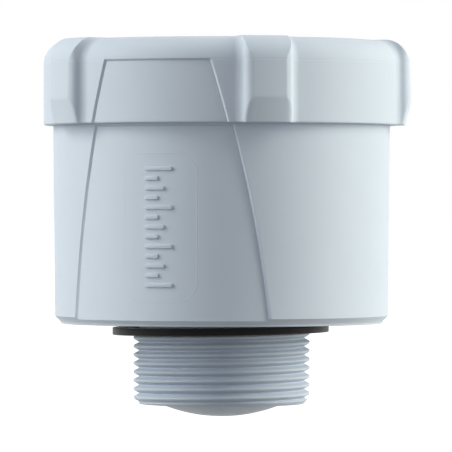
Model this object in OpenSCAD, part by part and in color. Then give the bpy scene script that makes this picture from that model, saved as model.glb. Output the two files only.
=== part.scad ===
// Compact radar level transmitter: screw lid, moulded housing, G 1 1/2 fitting with a lens, and what they hold.
// The origin is on the axis in the sealing plane, +Z points at the lid, and the front panel faces -Y.

/* [Process connection] */
// Outer diameter of the pipe thread (G 1 1/2)
thread_d = 47.8; // [46:0.1:50]
// Depth of the spigot below the sealing plane
thread_l = 19.1; // [17:0.1:26]
// Chamfer at the spigot's end
end_chamfer = 1.7; // [1:0.1:2.4]
// Wall of the spigot at full thread diameter
spigot_wall = 4.3; // [3.6:0.1:5]
// Radius of the lens's outer face
lens_r = 43; // [36:1:60]
// Diameter of the lens where it meets the spigot's end
lens_d = 33.5; // [28:0.5:35]
// Radius of the lens's inner face
lens_inner_r = 55; // [45:1:80]
// Plastic left under the lens's inner face at its edge
lens_edge_t = 2.7; // [2:0.1:4]
// Width of the flat process seal
seal_w = 5; // [4:0.1:8]
// Thickness of the flat process seal
seal_t = 2; // [1.5:0.1:3]
// How far the fitting's neck inside the housing stands out past its thread
neck_step = 1.1; // [0.6:0.1:2]
// Width of the sealing collar's ledge round that neck
collar_ledge = 3.6; // [3:0.1:5]
// How far the collar stands out of the housing
collar_out = 0.74; // [0.4:0.02:1.6]
// Depth of the collar inside the housing's floor
collar_in = 1.8; // [1.6:0.1:2.2]

/* [Housing] */
// Loss of radius over the housing's height, for the mould
body_draft = 0.6; // [0.2:0.1:0.8]
// Wall of the housing under the lid
body_wall = 4.2; // [3.6:0.1:6]
// Thickness of the floor
floor_t = 3.76; // [3.4:0.02:6]
// Width of the chamfer round the bottom
bottom_chamfer = 2.26; // [1.2:0.02:3.2]
// Rounding between that chamfer and the bottom face
bottom_r = 1.8; // [0.6:0.1:2.4]
// Wall of the neck under its thread
neck_wall = 2.1; // [1.8:0.1:2.5]

/* [Lid] */
// Wall of the lid's skirt
lid_wall = 2.4; // [2:0.1:5]
// Height of the lid
lid_h = 22.6; // [22:0.2:30]
// Thickness of the lid's top
lid_top_t = 2.8; // [2:0.1:4]
// Radius of the rounded shoulder
shoulder_r = 6.3; // [3:0.1:6.6]
// Rounding of the lid's lower edge
lid_edge_r = 0.5; // [0.2:0.1:0.8]
// Gap in height between the housing's shoulder and the lid's step
step_gap = 0.8; // [0.5:0.1:1.4]
// How far the lid reaches down over the housing's shoulder
skirt_overlap = 3; // [2:0.1:4]

/* [Grips] */
// Number of grips round the lid
grip_count = 5; // [3:1:6]
// How far a grip stands out from the lid
grip_out = 3.14; // [2:0.02:4]
// Angle of a grip's full-height face
grip_face_a = 10.2; // [8:0.2:16]
// Rounding of a grip's long edges
grip_edge_r = 2.5; // [1.5:0.1:3]
// Rounding at a grip's foot
grip_foot_r = 2.57; // [1.5:0.01:3]
// How far a grip stands above the lid's top
grip_up = 0.22; // [0.1:0.02:0.6]
// Height of the sloped foot under a grip
grip_taper_h = 6.1; // [3:0.1:9]
// How far the sloped foot leans in
grip_taper_in = 1.4; // [0.6:0.1:2.2]
// Draft of a grip's face, for the mould
grip_draft = 0.2; // [0.1:0.05:0.4]

/* [Front panel] */
// Depth of the recessed panel
panel_depth = 0.5; // [0.3:0.05:1]
// Radius of the panel's bowed sides
panel_side_r = 350; // [250:5:600]
// Width across the bowed sides where they stand upright
panel_w = 59.5; // [50:0.1:64]
// Depth of that level below the sealing plane
panel_level = 26.5; // [20:0.5:32]
// Plain band between the housing's panel and the lid
panel_band = 1.1; // [0.6:0.1:3]

/* [Lid thread] */
// Number of thread starts
thread_starts = 6; // [4:1:6]
// Height between neighbouring starts
thread_pitch = 4; // [3.8:0.1:4.4]
// Angle that each start sweeps
thread_sweep = 50; // [30:1:55]
// Height of a thread on the neck
neck_thread_h = 1.3; // [0.9:0.05:1.5]
// Height of a thread in the lid
lid_thread_h = 1.4; // [0.9:0.05:1.5]
// Width of a thread at its root
thread_root_w = 1.8; // [1.4:0.05:1.9]
// Width of a thread at its tip
thread_tip_w = 1; // [0.6:0.05:1.2]
// Play in height between the threads when closed
thread_play = 0.35; // [0.3:0.05:0.5]

/* [Seals] */
// Thickness of the lid's flat seal
lid_seal_t = 2; // [1.5:0.1:3]
// Width of the lid's flat seal
lid_seal_w = 2.4; // [1.8:0.1:2.6]
// Section of the O-ring round the fitting
o_ring_d = 1.15; // [0.9:0.05:1.3]

/* [Electronics] */
// Least width of board outside the bosses' centres
board_edge = 3.1; // [2.9:0.1:6]
// Thickness of both boards
board_t = 1.6; // [1:0.1:2.4]
// Length of the spacers between the boards
spacer_l = 11; // [9:0.5:16]
// Height of the bay over the main board
bay_h = 11.6; // [10:0.2:18]
// Diameter of a board boss
boss_d = 5.8; // [5.2:0.1:8]
// Height of the ring nut
nut_t = 4; // [3:0.5:6]
// Wall of the ring nut
nut_wall = 2.5; // [2:0.1:4]
// Thickness of the horn's wall
horn_wall = 1.2; // [0.8:0.1:1.6]
// Diameter of the horn's throat
throat_d = 3.2; // [2:0.1:4.5]
// Thickness of the radar chip
chip_t = 0.9; // [0.6:0.1:1.2]

/* [Batteries] */
// Diameter of a cell (size C)
cell_d = 26.2; // [24:0.1:26.4]
// Length of a cell over its contact
cell_l = 50; // [44:0.5:50.5]
// Gap between the cells
cell_gap = 1.4; // [1:0.1:1.8]
// Room between the cells and the neck's rim
head_room = 4.8; // [4.6:0.2:12]
// Thickness of the tray's deck
tray_t = 2; // [1.6:0.1:3]
// Length of a battery spring
spring_l = 3.6; // [3:0.1:4]

/* [Screws] */
// Diameter of a screw's shank
screw_d = 2.4; // [2:0.1:2.4]
// Diameter of a screw's head
screw_head_d = 5; // [4:0.1:5.2]
// Height of a screw's head
screw_head_h = 1.8; // [1.2:0.1:2.2]
// Length of a screw's shank under its head
screw_l = 6; // [5:0.5:6.5]
// Length of a threaded insert
insert_l = 5; // [4:0.1:6]
// Outer diameter of a threaded insert
insert_d = 4; // [3.6:0.1:4.2]

/* [Start button] */
// Travel of the button
button_travel = 0.5; // [0.3:0.05:0.6]
// Diameter of the button's stem
button_stem_d = 2.6; // [2:0.1:2.8]
// Diameter of the button's cap
button_cap_d = 3.6; // [3.2:0.1:3.6]
// Distance of the button and the light from the middle
button_side = 4; // [3.6:0.1:4.2]

/* [Hidden] */
$fn = 96;
// How far cuts run past the faces they open
over = 1;
// How deep joined pieces of one moulding run into each other
bury = 0.3;
// Radial gap between round pieces that are seated and do not move
seat_gap = 0.1;
// Gap between pieces that move past each other
slip_gap = 0.3;
// Radial gap of a plunger in its guide
guide_gap = 0.08;
// Segments of a drawn arc
arc_steps = 8;

// Heights, from the sealing plane up
spigot_z = -thread_l;
collar_z = seal_t;
body_z = collar_z + collar_out;
collar_top_z = body_z + collar_in;
floor_z = body_z + floor_t;
nut_top_z = floor_z + nut_t;
fitting_over = 1.5;
fitting_top_z = nut_top_z + fitting_over;
horn_flange_t = 2;
horn_top_z = fitting_top_z + horn_flange_t;
chip_gap = 0.3;
radar_board_z = horn_top_z + chip_gap + chip_t;
radar_top_z = radar_board_z + board_t;
main_board_z = radar_top_z + spacer_l;
main_top_z = main_board_z + board_t;
tray_z = main_top_z + bay_h;
deck_z = tray_z + tray_t;
cell_z = deck_z + slip_gap + cell_d / 2;
neck_top_z = cell_z + cell_d / 2 + head_room;
ceiling_z = neck_top_z + lid_seal_t;
lid_top_z = ceiling_z + lid_top_t;
lid_z = lid_top_z - lid_h;
shoulder_z = lid_z + skirt_overlap;
step_z = shoulder_z + step_gap;
parting_z = lid_top_z - shoulder_r;
panel_body_z = lid_z - panel_band;

// Radii of the fitting, then outwards to the boards
thread_r = thread_d / 2;
relief_depth = 1.4;
relief_r = thread_r - relief_depth;
bore_r = thread_r - spigot_wall;
inner_neck_r = thread_r + neck_step;
collar_r = inner_neck_r + collar_ledge;
seal_r = thread_r + slip_gap + seal_w;
nut_r = inner_neck_r + seat_gap + nut_wall;
piece_gap = 0.4;
boss_place_r = nut_r + piece_gap + boss_d / 2;

// Battery tray, from the cells outwards
plate_t = 0.4;
bump_h = 0.8;
cell_ends = plate_t + bump_h + plate_t + spring_l;
cell_shift = (plate_t + spring_l - plate_t - bump_h) / 2;
end_wall_y = (cell_l + cell_ends) / 2;
end_wall_t = 1.6;
end_wall_over = 6;
cell_x = (cell_d + cell_gap) / 2;
end_wall_w = 2 * cell_x + cell_d - 2;
saddle_t = 2.5;
saddle_y = 0.28 * cell_l;
saddle_under = 4;
tower = [10.8, 11.2, 19];
tower_wall = 1.4;
tower_gap = 1.5;
tower_x = cell_x + cell_d / 2 + tower_gap + tower[0] / 2;
patch = [10.4, 10.4, 4];
button_y = end_wall_y + end_wall_t + 0.2 + button_cap_d / 2;
switch = [4, 4, 2];

// The boards reach the switch, and the cavity takes the widest of the columns, the tower and the end walls
board_r = max(boss_place_r + board_edge, norm([button_side + switch[0] / 2, button_y + switch[1] / 2]) + 0.26);
column_d = 6;
column_back = 0.3;
tray_gap = 0.2;
wall_room = 0.5;
cavity_low_r = max(board_r + piece_gap + column_d + column_back,
  norm([tower_x + tower[0] / 2, tower[1] / 2]) + wall_room,
  norm([end_wall_w / 2, end_wall_y + end_wall_t]) + tray_gap + wall_room);
column_r = cavity_low_r - column_back - column_d / 2;
tray_r = cavity_low_r - tray_gap;
cavity_top_r = cavity_low_r + body_draft;
body_d = 2 * (cavity_top_r + body_wall);
neck_r = cavity_top_r + neck_wall;
neck_lead = 0.5;
skirt_r = body_d / 2 + slip_gap;
lid_r = skirt_r + lid_wall;
grip_r = lid_r + grip_out;
thread_room = 0.5;
lid_bore_r = neck_r + neck_thread_h + thread_room;
seal_room_r = neck_r + 1;
seal_step = 0.8;
lid_seal_r = seal_room_r - 0.4;
lens_sag = lens_r - sqrt(pow(lens_r, 2) - pow(lens_d / 2, 2));

// Lid thread: all starts climb together, so one turn lifts the lid by this much
thread_lead = thread_starts * thread_pitch;
neck_thread_z = step_z + 3;
neck_thread_root = neck_r - bury;
neck_thread_tip = neck_r + neck_thread_h;
lid_thread_root = lid_bore_r + bury;
lid_thread_tip = lid_bore_r - lid_thread_h;
thread_mid = (neck_thread_tip + lid_thread_tip) / 2;
lid_thread_a = 5;
ridge_step = 5;

// Boards, bosses and columns
column_angles = [30, 150, 210, 330];
boss_angles = [45, 135, 225, 315];
web_w = 4;
insert_gap = 0.05;
hole_extra = 0.4;
shield = [26, 26, 3];
shield_wall = 0.4;
chip = [6, 6];
link_at = [0, 24];
link_size = [16, 5];
processor_at = [-12, -4];
processor = [10, 10, 1.2];
modem_at = [10, 6];
modem = [24, 22, 2.4];
sim_at = [-14, 12];
sim_size = [12.3, 8.8, 0.7];
sim_out = 2;
holder = [15, 11, 1.6];
holder_floor = 0.4;
capacitor_at = [0, -14];
capacitor_d = 8.4;
capacitor_l = 20;
socket_at = [-10, -17];
socket_size = [14, 7];

// Fence, guides and switch parts on the tray
fence_t = 1.2;
fence_r = tray_r - 1.3 - fence_t;
fence_a = 56;
fence_h = 25;
guide_h = 3;
guide_wall = 1.2;
guide_top_z = deck_z + guide_h;
contact_plate = [12, 12];
contact_d = 5;
plunger_d = 1.8;
plunger_in = 0.65;
plunger_out = 0.8;
light_d = 2.8;
light_h = 0.8;

// Radius of the drafted housing at height z
function body_r(z) = body_d / 2 - body_draft * (shoulder_z - z) / (shoulder_z - body_z);

// A point at radius r and angle a
function polar(r, a) = [r * cos(a), r * sin(a)];

// Points of an arc round c with radius r, from angle a to angle b
function arc(c, r, a, b) = [for (i = [0:arc_steps]) c + polar(r, a + (b - a) * i / arc_steps)];

// Half width of a thread's ridge at radius r
function ridge_half(r, root, tip) = (thread_root_w + (thread_tip_w - thread_root_w) * (r - root) / (tip - root)) / 2;

// Drop from the neck's ridges to the lid's, which hang under them
thread_drop = ridge_half(thread_mid, neck_thread_root, neck_thread_tip)
  + ridge_half(thread_mid, lid_thread_root, lid_thread_tip) + thread_play;

// A flat ring standing on height z
module ring(r, hole_r, z, h) {
  translate([0, 0, z]) difference() {
    cylinder(r = r, h = h);
    translate([0, 0, -over]) cylinder(r = hole_r, h = h + 2 * over);
  }
}

// A block centred on a point in plan and standing on height z
module block(place, size, z) {
  translate([place[0] - size[0] / 2, place[1] - size[1] / 2, z]) cube(size);
}

// Children copied to each angle at one radius
module around(angles, r) {
  for (a = angles) rotate(a) translate([r, 0, 0]) children();
}

// One ridge of the lid's thread; side is 1 on the neck and -1 in the lid, where the section is turned over
module ridge(root, tip, z, side) {
  n = ceil(thread_sweep / ridge_step);
  section = [[root, -side * thread_root_w / 2], [tip, -side * thread_tip_w / 2],
    [tip, side * thread_tip_w / 2], [root, side * thread_root_w / 2]];
  points = [for (i = [0:n], p = section) let (a = thread_sweep * i / n)
    [p[0] * cos(a), p[0] * sin(a), z + p[1] + thread_lead * a / 360]];
  sides = [for (i = [0:n - 1], j = [0:3], t = [0, 1]) let (a = 4 * i + j, b = 4 * i + (j + 1) % 4)
    t == 0 ? [a, b, b + 4] : [a, b + 4, a + 4]];
  polyhedron(points, concat([[3, 2, 1, 0]], sides, [[4 * n, 4 * n + 1, 4 * n + 2, 4 * n + 3]]));
}

// All the starts of one thread, the first beginning at angle a and height z
module ridges(root, tip, z, a, side) {
  for (k = [0:thread_starts - 1]) rotate(a + 360 * k / thread_starts) ridge(root, tip, z, side);
}

// The front panel's outline, run through the front half of the unit between two heights
module panel_prism(low, high) {
  intersection() {
    for_side(-1);
    for_side(1);
    translate([-body_d / 2, -body_d, low]) cube([body_d, body_d, high - low]);
  }
}

// One bowed side of the front panel, as a wide cylinder across the unit
module for_side(side) {
  translate([side * (panel_w / 2 - panel_side_r), 0, -panel_level]) rotate([90, 0, 0])
    cylinder(r = panel_side_r, h = body_d, $fn = 360);
}

// Half of one grip's plan: its face, its long edge and the hollow at its foot
function grip_half(edge_at, foot_at, turn) = concat(
  [for (i = [0:arc_steps / 2]) polar(grip_plan_r, grip_face_a * i / arc_steps)],
  arc(edge_at, grip_edge_r, grip_face_a / 2, turn),
  arc(foot_at, grip_foot_r, turn + 180, grip_foot_a + 180));

// The grip's plan stands a little past its turned face, which trims it
grip_plan_r = grip_r + 0.1;
grip_inner_r = lid_r - 9;
foot_bite = 0.03;
edge_dist = grip_plan_r - grip_edge_r;
foot_dist = lid_r + grip_foot_r - foot_bite;
grip_foot_a = grip_face_a / 2 + acos((pow(edge_dist, 2) + pow(foot_dist, 2)
  - pow(grip_edge_r + grip_foot_r, 2)) / (2 * edge_dist * foot_dist));

module grip_plan() {
  edge_at = polar(edge_dist, grip_face_a / 2);
  foot_at = polar(foot_dist, grip_foot_a);
  run = foot_at - edge_at;
  half = grip_half(edge_at, foot_at, atan2(run[1], run[0]));
  last = len(half) - 1;
  polygon(concat([for (i = [last:-1:1]) [half[i][0], -half[i][1]]], half,
    [polar(grip_inner_r, grip_foot_a), polar(grip_inner_r, -grip_foot_a)]));
}

// Profile of a grip: sloped foot, drafted face, rounded shoulder and a top that runs down into the lid's
module grip_profile() {
  foot_r = grip_r - grip_taper_in;
  top_r = grip_r - grip_draft - shoulder_r;
  top_z = lid_top_z + grip_up;
  polygon(concat([[grip_inner_r - over, lid_z]],
    arc([foot_r - lid_edge_r, lid_z + lid_edge_r], lid_edge_r, -90, 0),
    [[grip_r, lid_z + lid_edge_r + grip_taper_h]],
    arc([top_r, top_z - shoulder_r], shoulder_r, 0, 90),
    [[grip_inner_r - over, lid_top_z - 0.1]]));
}

module lid_profile() {
  polygon(concat([[0, lid_z]],
    arc([lid_r - lid_edge_r, lid_z + lid_edge_r], lid_edge_r, -90, 0),
    arc([lid_r - shoulder_r, parting_z], shoulder_r, 0, 90),
    [[0, lid_top_z]]));
}

module housing_body() {
  color("#b4bec8") difference() {
    union() {
      difference() {
        rotate_extrude() housing_profile();
        rotate_extrude() polygon([[0, floor_z], [cavity_low_r, floor_z], [cavity_top_r, neck_top_z],
          [cavity_top_r, neck_top_z + over], [0, neck_top_z + over]]);
        translate([0, 0, body_z - over]) cylinder(r = inner_neck_r + seat_gap, h = floor_t + 2 * over);
        translate([0, 0, body_z - over]) cylinder(r = collar_r + seat_gap, h = collar_in + over);
        difference() {
          panel_prism(body_z - over, panel_body_z);
          translate([0, 0, body_z - 2 * over]) cylinder(r1 = body_r(body_z - 2 * over) - panel_depth,
            r2 = body_r(shoulder_z) - panel_depth, h = shoulder_z - body_z + 2 * over);
        }
      }
      around(boss_angles, boss_place_r) translate([0, 0, floor_z - bury])
        cylinder(d = boss_d, h = radar_board_z - floor_z + bury);
      around(column_angles, column_r) column();
    }
    around(boss_angles, boss_place_r) insert_hole(radar_board_z);
    around(column_angles, column_r) insert_hole(tray_z);
  }
  color("#b4bec8") ridges(neck_thread_root, neck_thread_tip, neck_thread_z, 0, 1);
}

module housing_profile() {
  chamfer_z = body_z + bottom_chamfer;
  corner_r = body_r(chamfer_z) - bottom_chamfer;
  polygon(concat([[0, body_z]],
    arc([corner_r - bottom_r * tan(22.5), body_z + bottom_r], bottom_r, -90, -45),
    [[body_r(chamfer_z), chamfer_z], [body_d / 2, shoulder_z], [neck_r, shoulder_z],
      [neck_r, neck_top_z - neck_lead], [neck_r - neck_lead, neck_top_z], [0, neck_top_z]]));
}

// A tray column with the web that ties it to the wall
module column() {
  h = tray_z - floor_z + bury;
  translate([0, 0, floor_z - bury]) cylinder(d = column_d, h = h);
  translate([0, -web_w / 2, floor_z - bury]) cube([cavity_top_r + bury - column_r, web_w, h]);
}

module insert_hole(top) {
  translate([0, 0, top - insert_l - over]) cylinder(d = insert_d + 2 * insert_gap, h = insert_l + 2 * over);
}

module lid() {
  color("#b4bec8") difference() {
    union() {
      difference() {
        rotate_extrude() lid_profile();
        difference() {
          panel_prism(lid_z - over, parting_z);
          translate([0, 0, lid_z - 2 * over]) cylinder(r = lid_r - panel_depth, h = lid_h);
        }
      }
      intersection() {
        rotate_extrude() grip_profile();
        translate([0, 0, lid_z - over]) linear_extrude(height = lid_h + 2 * over) union() {
          for (k = [0:grip_count - 1]) rotate(-90 + 360 * (k + 0.5) / grip_count) grip_plan();
        }
      }
    }
    rotate_extrude() polygon([[0, lid_z - over], [skirt_r, lid_z - over], [skirt_r, step_z], [lid_bore_r, step_z],
      [lid_bore_r, neck_top_z - seal_step], [seal_room_r, neck_top_z - seal_step], [seal_room_r, ceiling_z],
      [0, ceiling_z]]);
  }
  color("#b4bec8") ridges(lid_thread_root, lid_thread_tip,
    neck_thread_z - thread_drop + thread_lead * lid_thread_a / 360, lid_thread_a, -1);
}

module lid_seal() {
  color("#3a3d40") ring(lid_seal_r, lid_seal_r - lid_seal_w, neck_top_z, lid_seal_t);
}

module process_fitting() {
  inner_z = spigot_z + lens_edge_t;
  color("#a9b1b8") difference() {
    union() {
      rotate_extrude() polygon([[0, spigot_z], [thread_r - end_chamfer, spigot_z], [thread_r, spigot_z + end_chamfer],
        [thread_r, 0], [relief_r, 0], [relief_r, collar_z], [collar_r, collar_z], [collar_r, collar_top_z],
        [inner_neck_r, collar_top_z], [inner_neck_r, fitting_top_z - neck_lead],
        [inner_neck_r - neck_lead, fitting_top_z], [0, fitting_top_z]]);
      intersection() {
        translate([0, 0, spigot_z - lens_sag + lens_r]) sphere(r = lens_r);
        translate([0, 0, spigot_z - lens_sag - over]) cylinder(d = lens_d + 2 * over, h = lens_sag + over + bury);
      }
    }
    difference() {
      translate([0, 0, inner_z]) cylinder(r = bore_r, h = fitting_top_z - inner_z + over);
      translate([0, 0, inner_z - sqrt(pow(lens_inner_r, 2) - pow(bore_r + over, 2))]) sphere(r = lens_inner_r);
    }
    ring(o_ring_r + o_ring_d / 2 + seat_gap, o_ring_r - o_ring_d / 2 - seat_gap,
      collar_top_z - o_ring_d - seat_gap, o_ring_d + seat_gap + over / 10);
  }
}

// The O-ring's mean radius, midway across the collar's ledge
o_ring_r = (collar_r + inner_neck_r) / 2;

module process_seal() {
  color("#2b2d30") ring(seal_r, thread_r + slip_gap, 0, seal_t);
}

module fitting_seal() {
  color("#2b2d30") translate([0, 0, collar_top_z - (o_ring_d + seat_gap) / 2]) rotate_extrude()
    translate([o_ring_r, 0]) circle(d = o_ring_d, $fn = 24);
}

module ring_nut() {
  slot = [2 * nut_r, 4, 1.6];
  color("#c9ccd0") difference() {
    ring(nut_r, inner_neck_r + seat_gap, floor_z, nut_t);
    for (a = [0, 90]) rotate(a) block([0, 0], [slot[0] + over, slot[1], slot[2] + over], nut_top_z - slot[2]);
  }
}

module radar_horn() {
  mouth_z = spigot_z + lens_edge_t + 1.2;
  mouth_r = bore_r - 2 * seat_gap;
  throat_r = throat_d / 2;
  throat_z = fitting_top_z - 4;
  color("#d2d5d8") rotate_extrude() polygon([[mouth_r - horn_wall, mouth_z], [mouth_r, mouth_z],
    [mouth_r, mouth_z + 2], [throat_r + 2 * horn_wall, throat_z], [throat_r + 2 * horn_wall, fitting_top_z],
    [inner_neck_r - over, fitting_top_z], [inner_neck_r - over, horn_top_z], [throat_r, horn_top_z],
    [throat_r, throat_z]]);
}

// A round board with holes at the bosses
module round_board(z) {
  difference() {
    translate([0, 0, z]) cylinder(r = board_r, h = board_t);
    around(boss_angles, boss_place_r) translate([0, 0, z - over])
      cylinder(d = screw_d + hole_extra, h = board_t + 2 * over);
  }
}

module radar_board() {
  color("#1f6b43") round_board(radar_board_z);
}

module radar_chip() {
  color("#26282b") block([0, 0], [chip[0], chip[1], chip_t], radar_board_z - chip_t);
}

module radar_shield() {
  inner = [shield[0] - 2 * shield_wall, shield[1] - 2 * shield_wall, shield[2] - shield_wall + over];
  color("#c8cbcc") difference() {
    block([0, 0], shield, radar_top_z);
    block([0, 0], inner, radar_top_z - over);
  }
}

module board_spacers() {
  color("#d0c27a") around(boss_angles, boss_place_r) {
    difference() {
      translate([0, 0, radar_top_z]) cylinder(d = boss_d, h = spacer_l, $fn = 6);
      translate([0, 0, main_board_z - screw_l]) cylinder(d = screw_d + 2 * insert_gap, h = screw_l + over);
    }
    translate([0, 0, radar_board_z - insert_l + over]) cylinder(d = screw_d, h = insert_l - over + board_t + bury);
  }
}

module board_connector() {
  color("#2a2c2f") block(link_at, [link_size[0], link_size[1], spacer_l], radar_top_z);
}

module main_board() {
  color("#1f6b43") round_board(main_board_z);
}

module processor_chip() {
  color("#26282b") block(processor_at, processor, main_top_z);
}

module modem_module() {
  color("#c8cbcc") block(modem_at, modem, main_top_z);
}

// Card holder with its slot; the card stands a little out of it
module sim_holder() {
  slot = [sim_size[0] + 2 * seat_gap, holder[1], sim_size[2] + 2 * seat_gap];
  color("#c8cbcc") difference() {
    block(sim_at, holder, main_top_z);
    block([sim_at[0], sim_at[1] + over], slot, main_top_z + holder_floor);
  }
}

module sim_card() {
  color("#e8e8e4") block([sim_at[0], sim_at[1] + sim_out], sim_size, main_top_z + holder_floor + seat_gap);
}

module buffer_capacitor() {
  color("#3d4a78") translate([capacitor_at[0], capacitor_at[1], main_top_z + capacitor_d / 2 + guide_gap])
    rotate([0, 90, 0]) cylinder(d = capacitor_d, h = capacitor_l);
}

module battery_connector() {
  color("#2a2c2f") block(socket_at, [socket_size[0], socket_size[1], bay_h], main_top_z);
}

// Pan-head screw with a socket, its head standing on height z
module pan_screw(z) {
  translate([0, 0, z - screw_l]) cylinder(d = screw_d, h = screw_l + bury);
  difference() {
    intersection() {
      translate([0, 0, z]) cylinder(d = screw_head_d, h = screw_head_h);
      translate([0, 0, z + screw_head_h - screw_head_d]) sphere(r = screw_head_d);
    }
    translate([0, 0, z + screw_head_h / 2]) cylinder(d = screw_head_d / 2, h = screw_head_h, $fn = 6);
  }
}

module board_screws() {
  color("#bfc3c6") around(boss_angles, boss_place_r) pan_screw(main_top_z);
}

module threaded_inserts() {
  color("#c9a24a") {
    around(boss_angles, boss_place_r) insert(radar_board_z);
    around(column_angles, column_r) insert(tray_z);
  }
}

module insert(top) {
  ring(insert_d / 2, screw_d / 2 + insert_gap, top - insert_l, insert_l);
}

module battery_tray() {
  color("#4a5056") difference() {
    union() {
      translate([0, 0, tray_z]) cylinder(r = tray_r, h = tray_t);
      for (s = [-1, 1]) {
        translate([0, s * (end_wall_y + end_wall_t / 2), 0])
          block([0, 0], [end_wall_w, end_wall_t, cell_z + end_wall_over - deck_z + bury], deck_z - bury);
        saddle(s * saddle_y);
        translate([s * button_side, -button_y, deck_z - bury])
          cylinder(d = button_stem_d + 2 * guide_wall, h = guide_h + bury);
      }
      rotate(90 - fence_a / 2) rotate_extrude(angle = fence_a)
        translate([fence_r, deck_z - bury]) square([fence_t, fence_h + bury]);
      block([tower_x, 0], [tower[0], tower[1], tower[2] + bury], deck_z - bury);
    }
    around(column_angles, column_r) translate([0, 0, tray_z - over])
      cylinder(d = screw_d + hole_extra, h = tray_t + 2 * over);
    translate([-button_side, -button_y, tray_z - over])
      cylinder(d = button_stem_d + 2 * guide_gap, h = tray_t + guide_h + 2 * over);
    translate([button_side, -button_y, tray_z - over])
      cylinder(d = light_d + 2 * seat_gap, h = tray_t + guide_h + 2 * over);
    block([tower_x, 0], [tower[0] - 2 * tower_wall, tower[1] - 2 * tower_wall, tower[2] + tray_t - tower_wall + over],
      tray_z - over);
  }
}

// A rib across the deck, hollowed to carry both cells
module saddle(y) {
  difference() {
    block([0, y], [end_wall_w, saddle_t, cell_z - saddle_under - deck_z + bury], deck_z - bury);
    for (s = [-1, 1]) translate([s * cell_x, y, cell_z]) rotate([90, 0, 0])
      cylinder(r = cell_d / 2 + slip_gap, h = saddle_t + 2 * over, center = true);
  }
}

// A sealed can with a raised contact, pointing along +Y or -Y
module cell(side) {
  rim = 1.2;
  nub_h = 1.5;
  can_l = cell_l - nub_h;
  translate([side * cell_x, side * (cell_shift - cell_l / 2), cell_z]) rotate([-side * 90, 0, 0])
    rotate_extrude() polygon([[0, 0], [cell_d / 2 - rim, 0], [cell_d / 2, rim], [cell_d / 2, can_l - rim],
      [cell_d / 2 - rim, can_l], [cell_d / 8, can_l], [cell_d / 8, cell_l], [0, cell_l]]);
}

module battery_cell_left() {
  color("#3f7f5f") cell(-1);
}

module battery_cell_right() {
  color("#3f7f5f") cell(1);
}

// Wire swept along a widening coil; rings of points follow a rule
module coil() {
  wire = 0.4;
  turns = 3;
  n = 14 * turns;
  m = 6;
  low_r = 3;
  high_r = 4.6;
  l = spring_l - 2 * wire - 2 * guide_gap;
  points = [for (i = [0:n], j = [0:m - 1]) let (a = 360 * turns * i / n, b = 360 * j / m,
    r = high_r + (low_r - high_r) * i / n + wire * cos(b))
    [r * cos(a), r * sin(a), wire + guide_gap + l * i / n + wire * sin(b)]];
  sides = [for (i = [0:n - 1], j = [0:m - 1], t = [0, 1]) let (a = m * i + j, b = m * i + (j + 1) % m)
    t == 0 ? [a, b, b + m] : [a, b + m, a + m]];
  polyhedron(points, concat([[for (j = [m - 1:-1:0]) j]], sides, [[for (j = [0:m - 1]) m * n + j]]));
}

module battery_springs() {
  color("#c8cbcc") for (s = [-1, 1])
    translate([s * cell_x, -s * (end_wall_y - plate_t), cell_z]) rotate([-s * 90, 0, 0]) coil();
}

module battery_contacts() {
  size = [contact_plate[0], plate_t, contact_plate[1]];
  color("#d6d0b0") for (s = [-1, 1]) {
    block([s * cell_x, -s * (end_wall_y - plate_t / 2)], size, cell_z - size[2] / 2);
    block([s * cell_x, s * (end_wall_y - plate_t / 2)], size, cell_z - size[2] / 2);
    translate([s * cell_x, s * (end_wall_y - plate_t + bury), cell_z]) rotate([s * 90, 0, 0])
      cylinder(d = contact_d, h = bump_h + bury - insert_gap);
  }
}

module tray_screws() {
  color("#bfc3c6") around(column_angles, column_r) pan_screw(deck_z);
}

module position_antenna() {
  color("#b9a98a") block([tower_x, 0], patch, deck_z + tower[2]);
}

module modem_antenna() {
  foot = 3;
  edge_a = 4;
  color("#c07f45") rotate(90 - fence_a / 2 + edge_a) rotate_extrude(angle = fence_a - 2 * edge_a)
    translate([fence_r + fence_t + seat_gap, deck_z + foot]) square([plate_t, fence_h - 2 * foot]);
}

module start_button() {
  low_z = main_top_z + switch[2] + plunger_out;
  cap_z = guide_top_z + button_travel + slip_gap;
  color("#2f6fb5") translate([-button_side, -button_y, 0]) {
    translate([0, 0, low_z]) cylinder(d = button_stem_d, h = cap_z - low_z + bury);
    translate([0, 0, cap_z]) cylinder(d1 = button_cap_d, d2 = button_cap_d - 0.4, h = 1.6);
  }
}

module start_switch() {
  color("#26282b") difference() {
    block([-button_side, -button_y], switch, main_top_z);
    translate([-button_side, -button_y, main_top_z + switch[2] - 2 * plunger_in])
      cylinder(d = plunger_d + 2 * guide_gap, h = 2 * plunger_in + over);
  }
}

module switch_plunger() {
  color("#d9d4c4") translate([-button_side, -button_y, main_top_z + switch[2] - plunger_in])
    cylinder(d = plunger_d, h = plunger_in + plunger_out);
}

module status_light() {
  color("#e9f2e2") block([button_side, -button_y], [3, 1.6, light_h], main_top_z);
}

module light_guide() {
  color("#dfe8ee") translate([button_side, -button_y, main_top_z + light_h])
    cylinder(d = light_d, h = guide_top_z - main_top_z - light_h);
}

housing_body();
lid();
lid_seal();
process_fitting();
process_seal();
fitting_seal();
ring_nut();
radar_horn();
radar_board();
radar_chip();
radar_shield();
board_spacers();
board_connector();
main_board();
processor_chip();
modem_module();
modem_antenna();
sim_holder();
sim_card();
buffer_capacitor();
battery_connector();
board_screws();
threaded_inserts();
battery_tray();
battery_cell_left();
battery_cell_right();
battery_springs();
battery_contacts();
tray_screws();
position_antenna();
start_button();
start_switch();
switch_plunger();
status_light();
light_guide();
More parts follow.
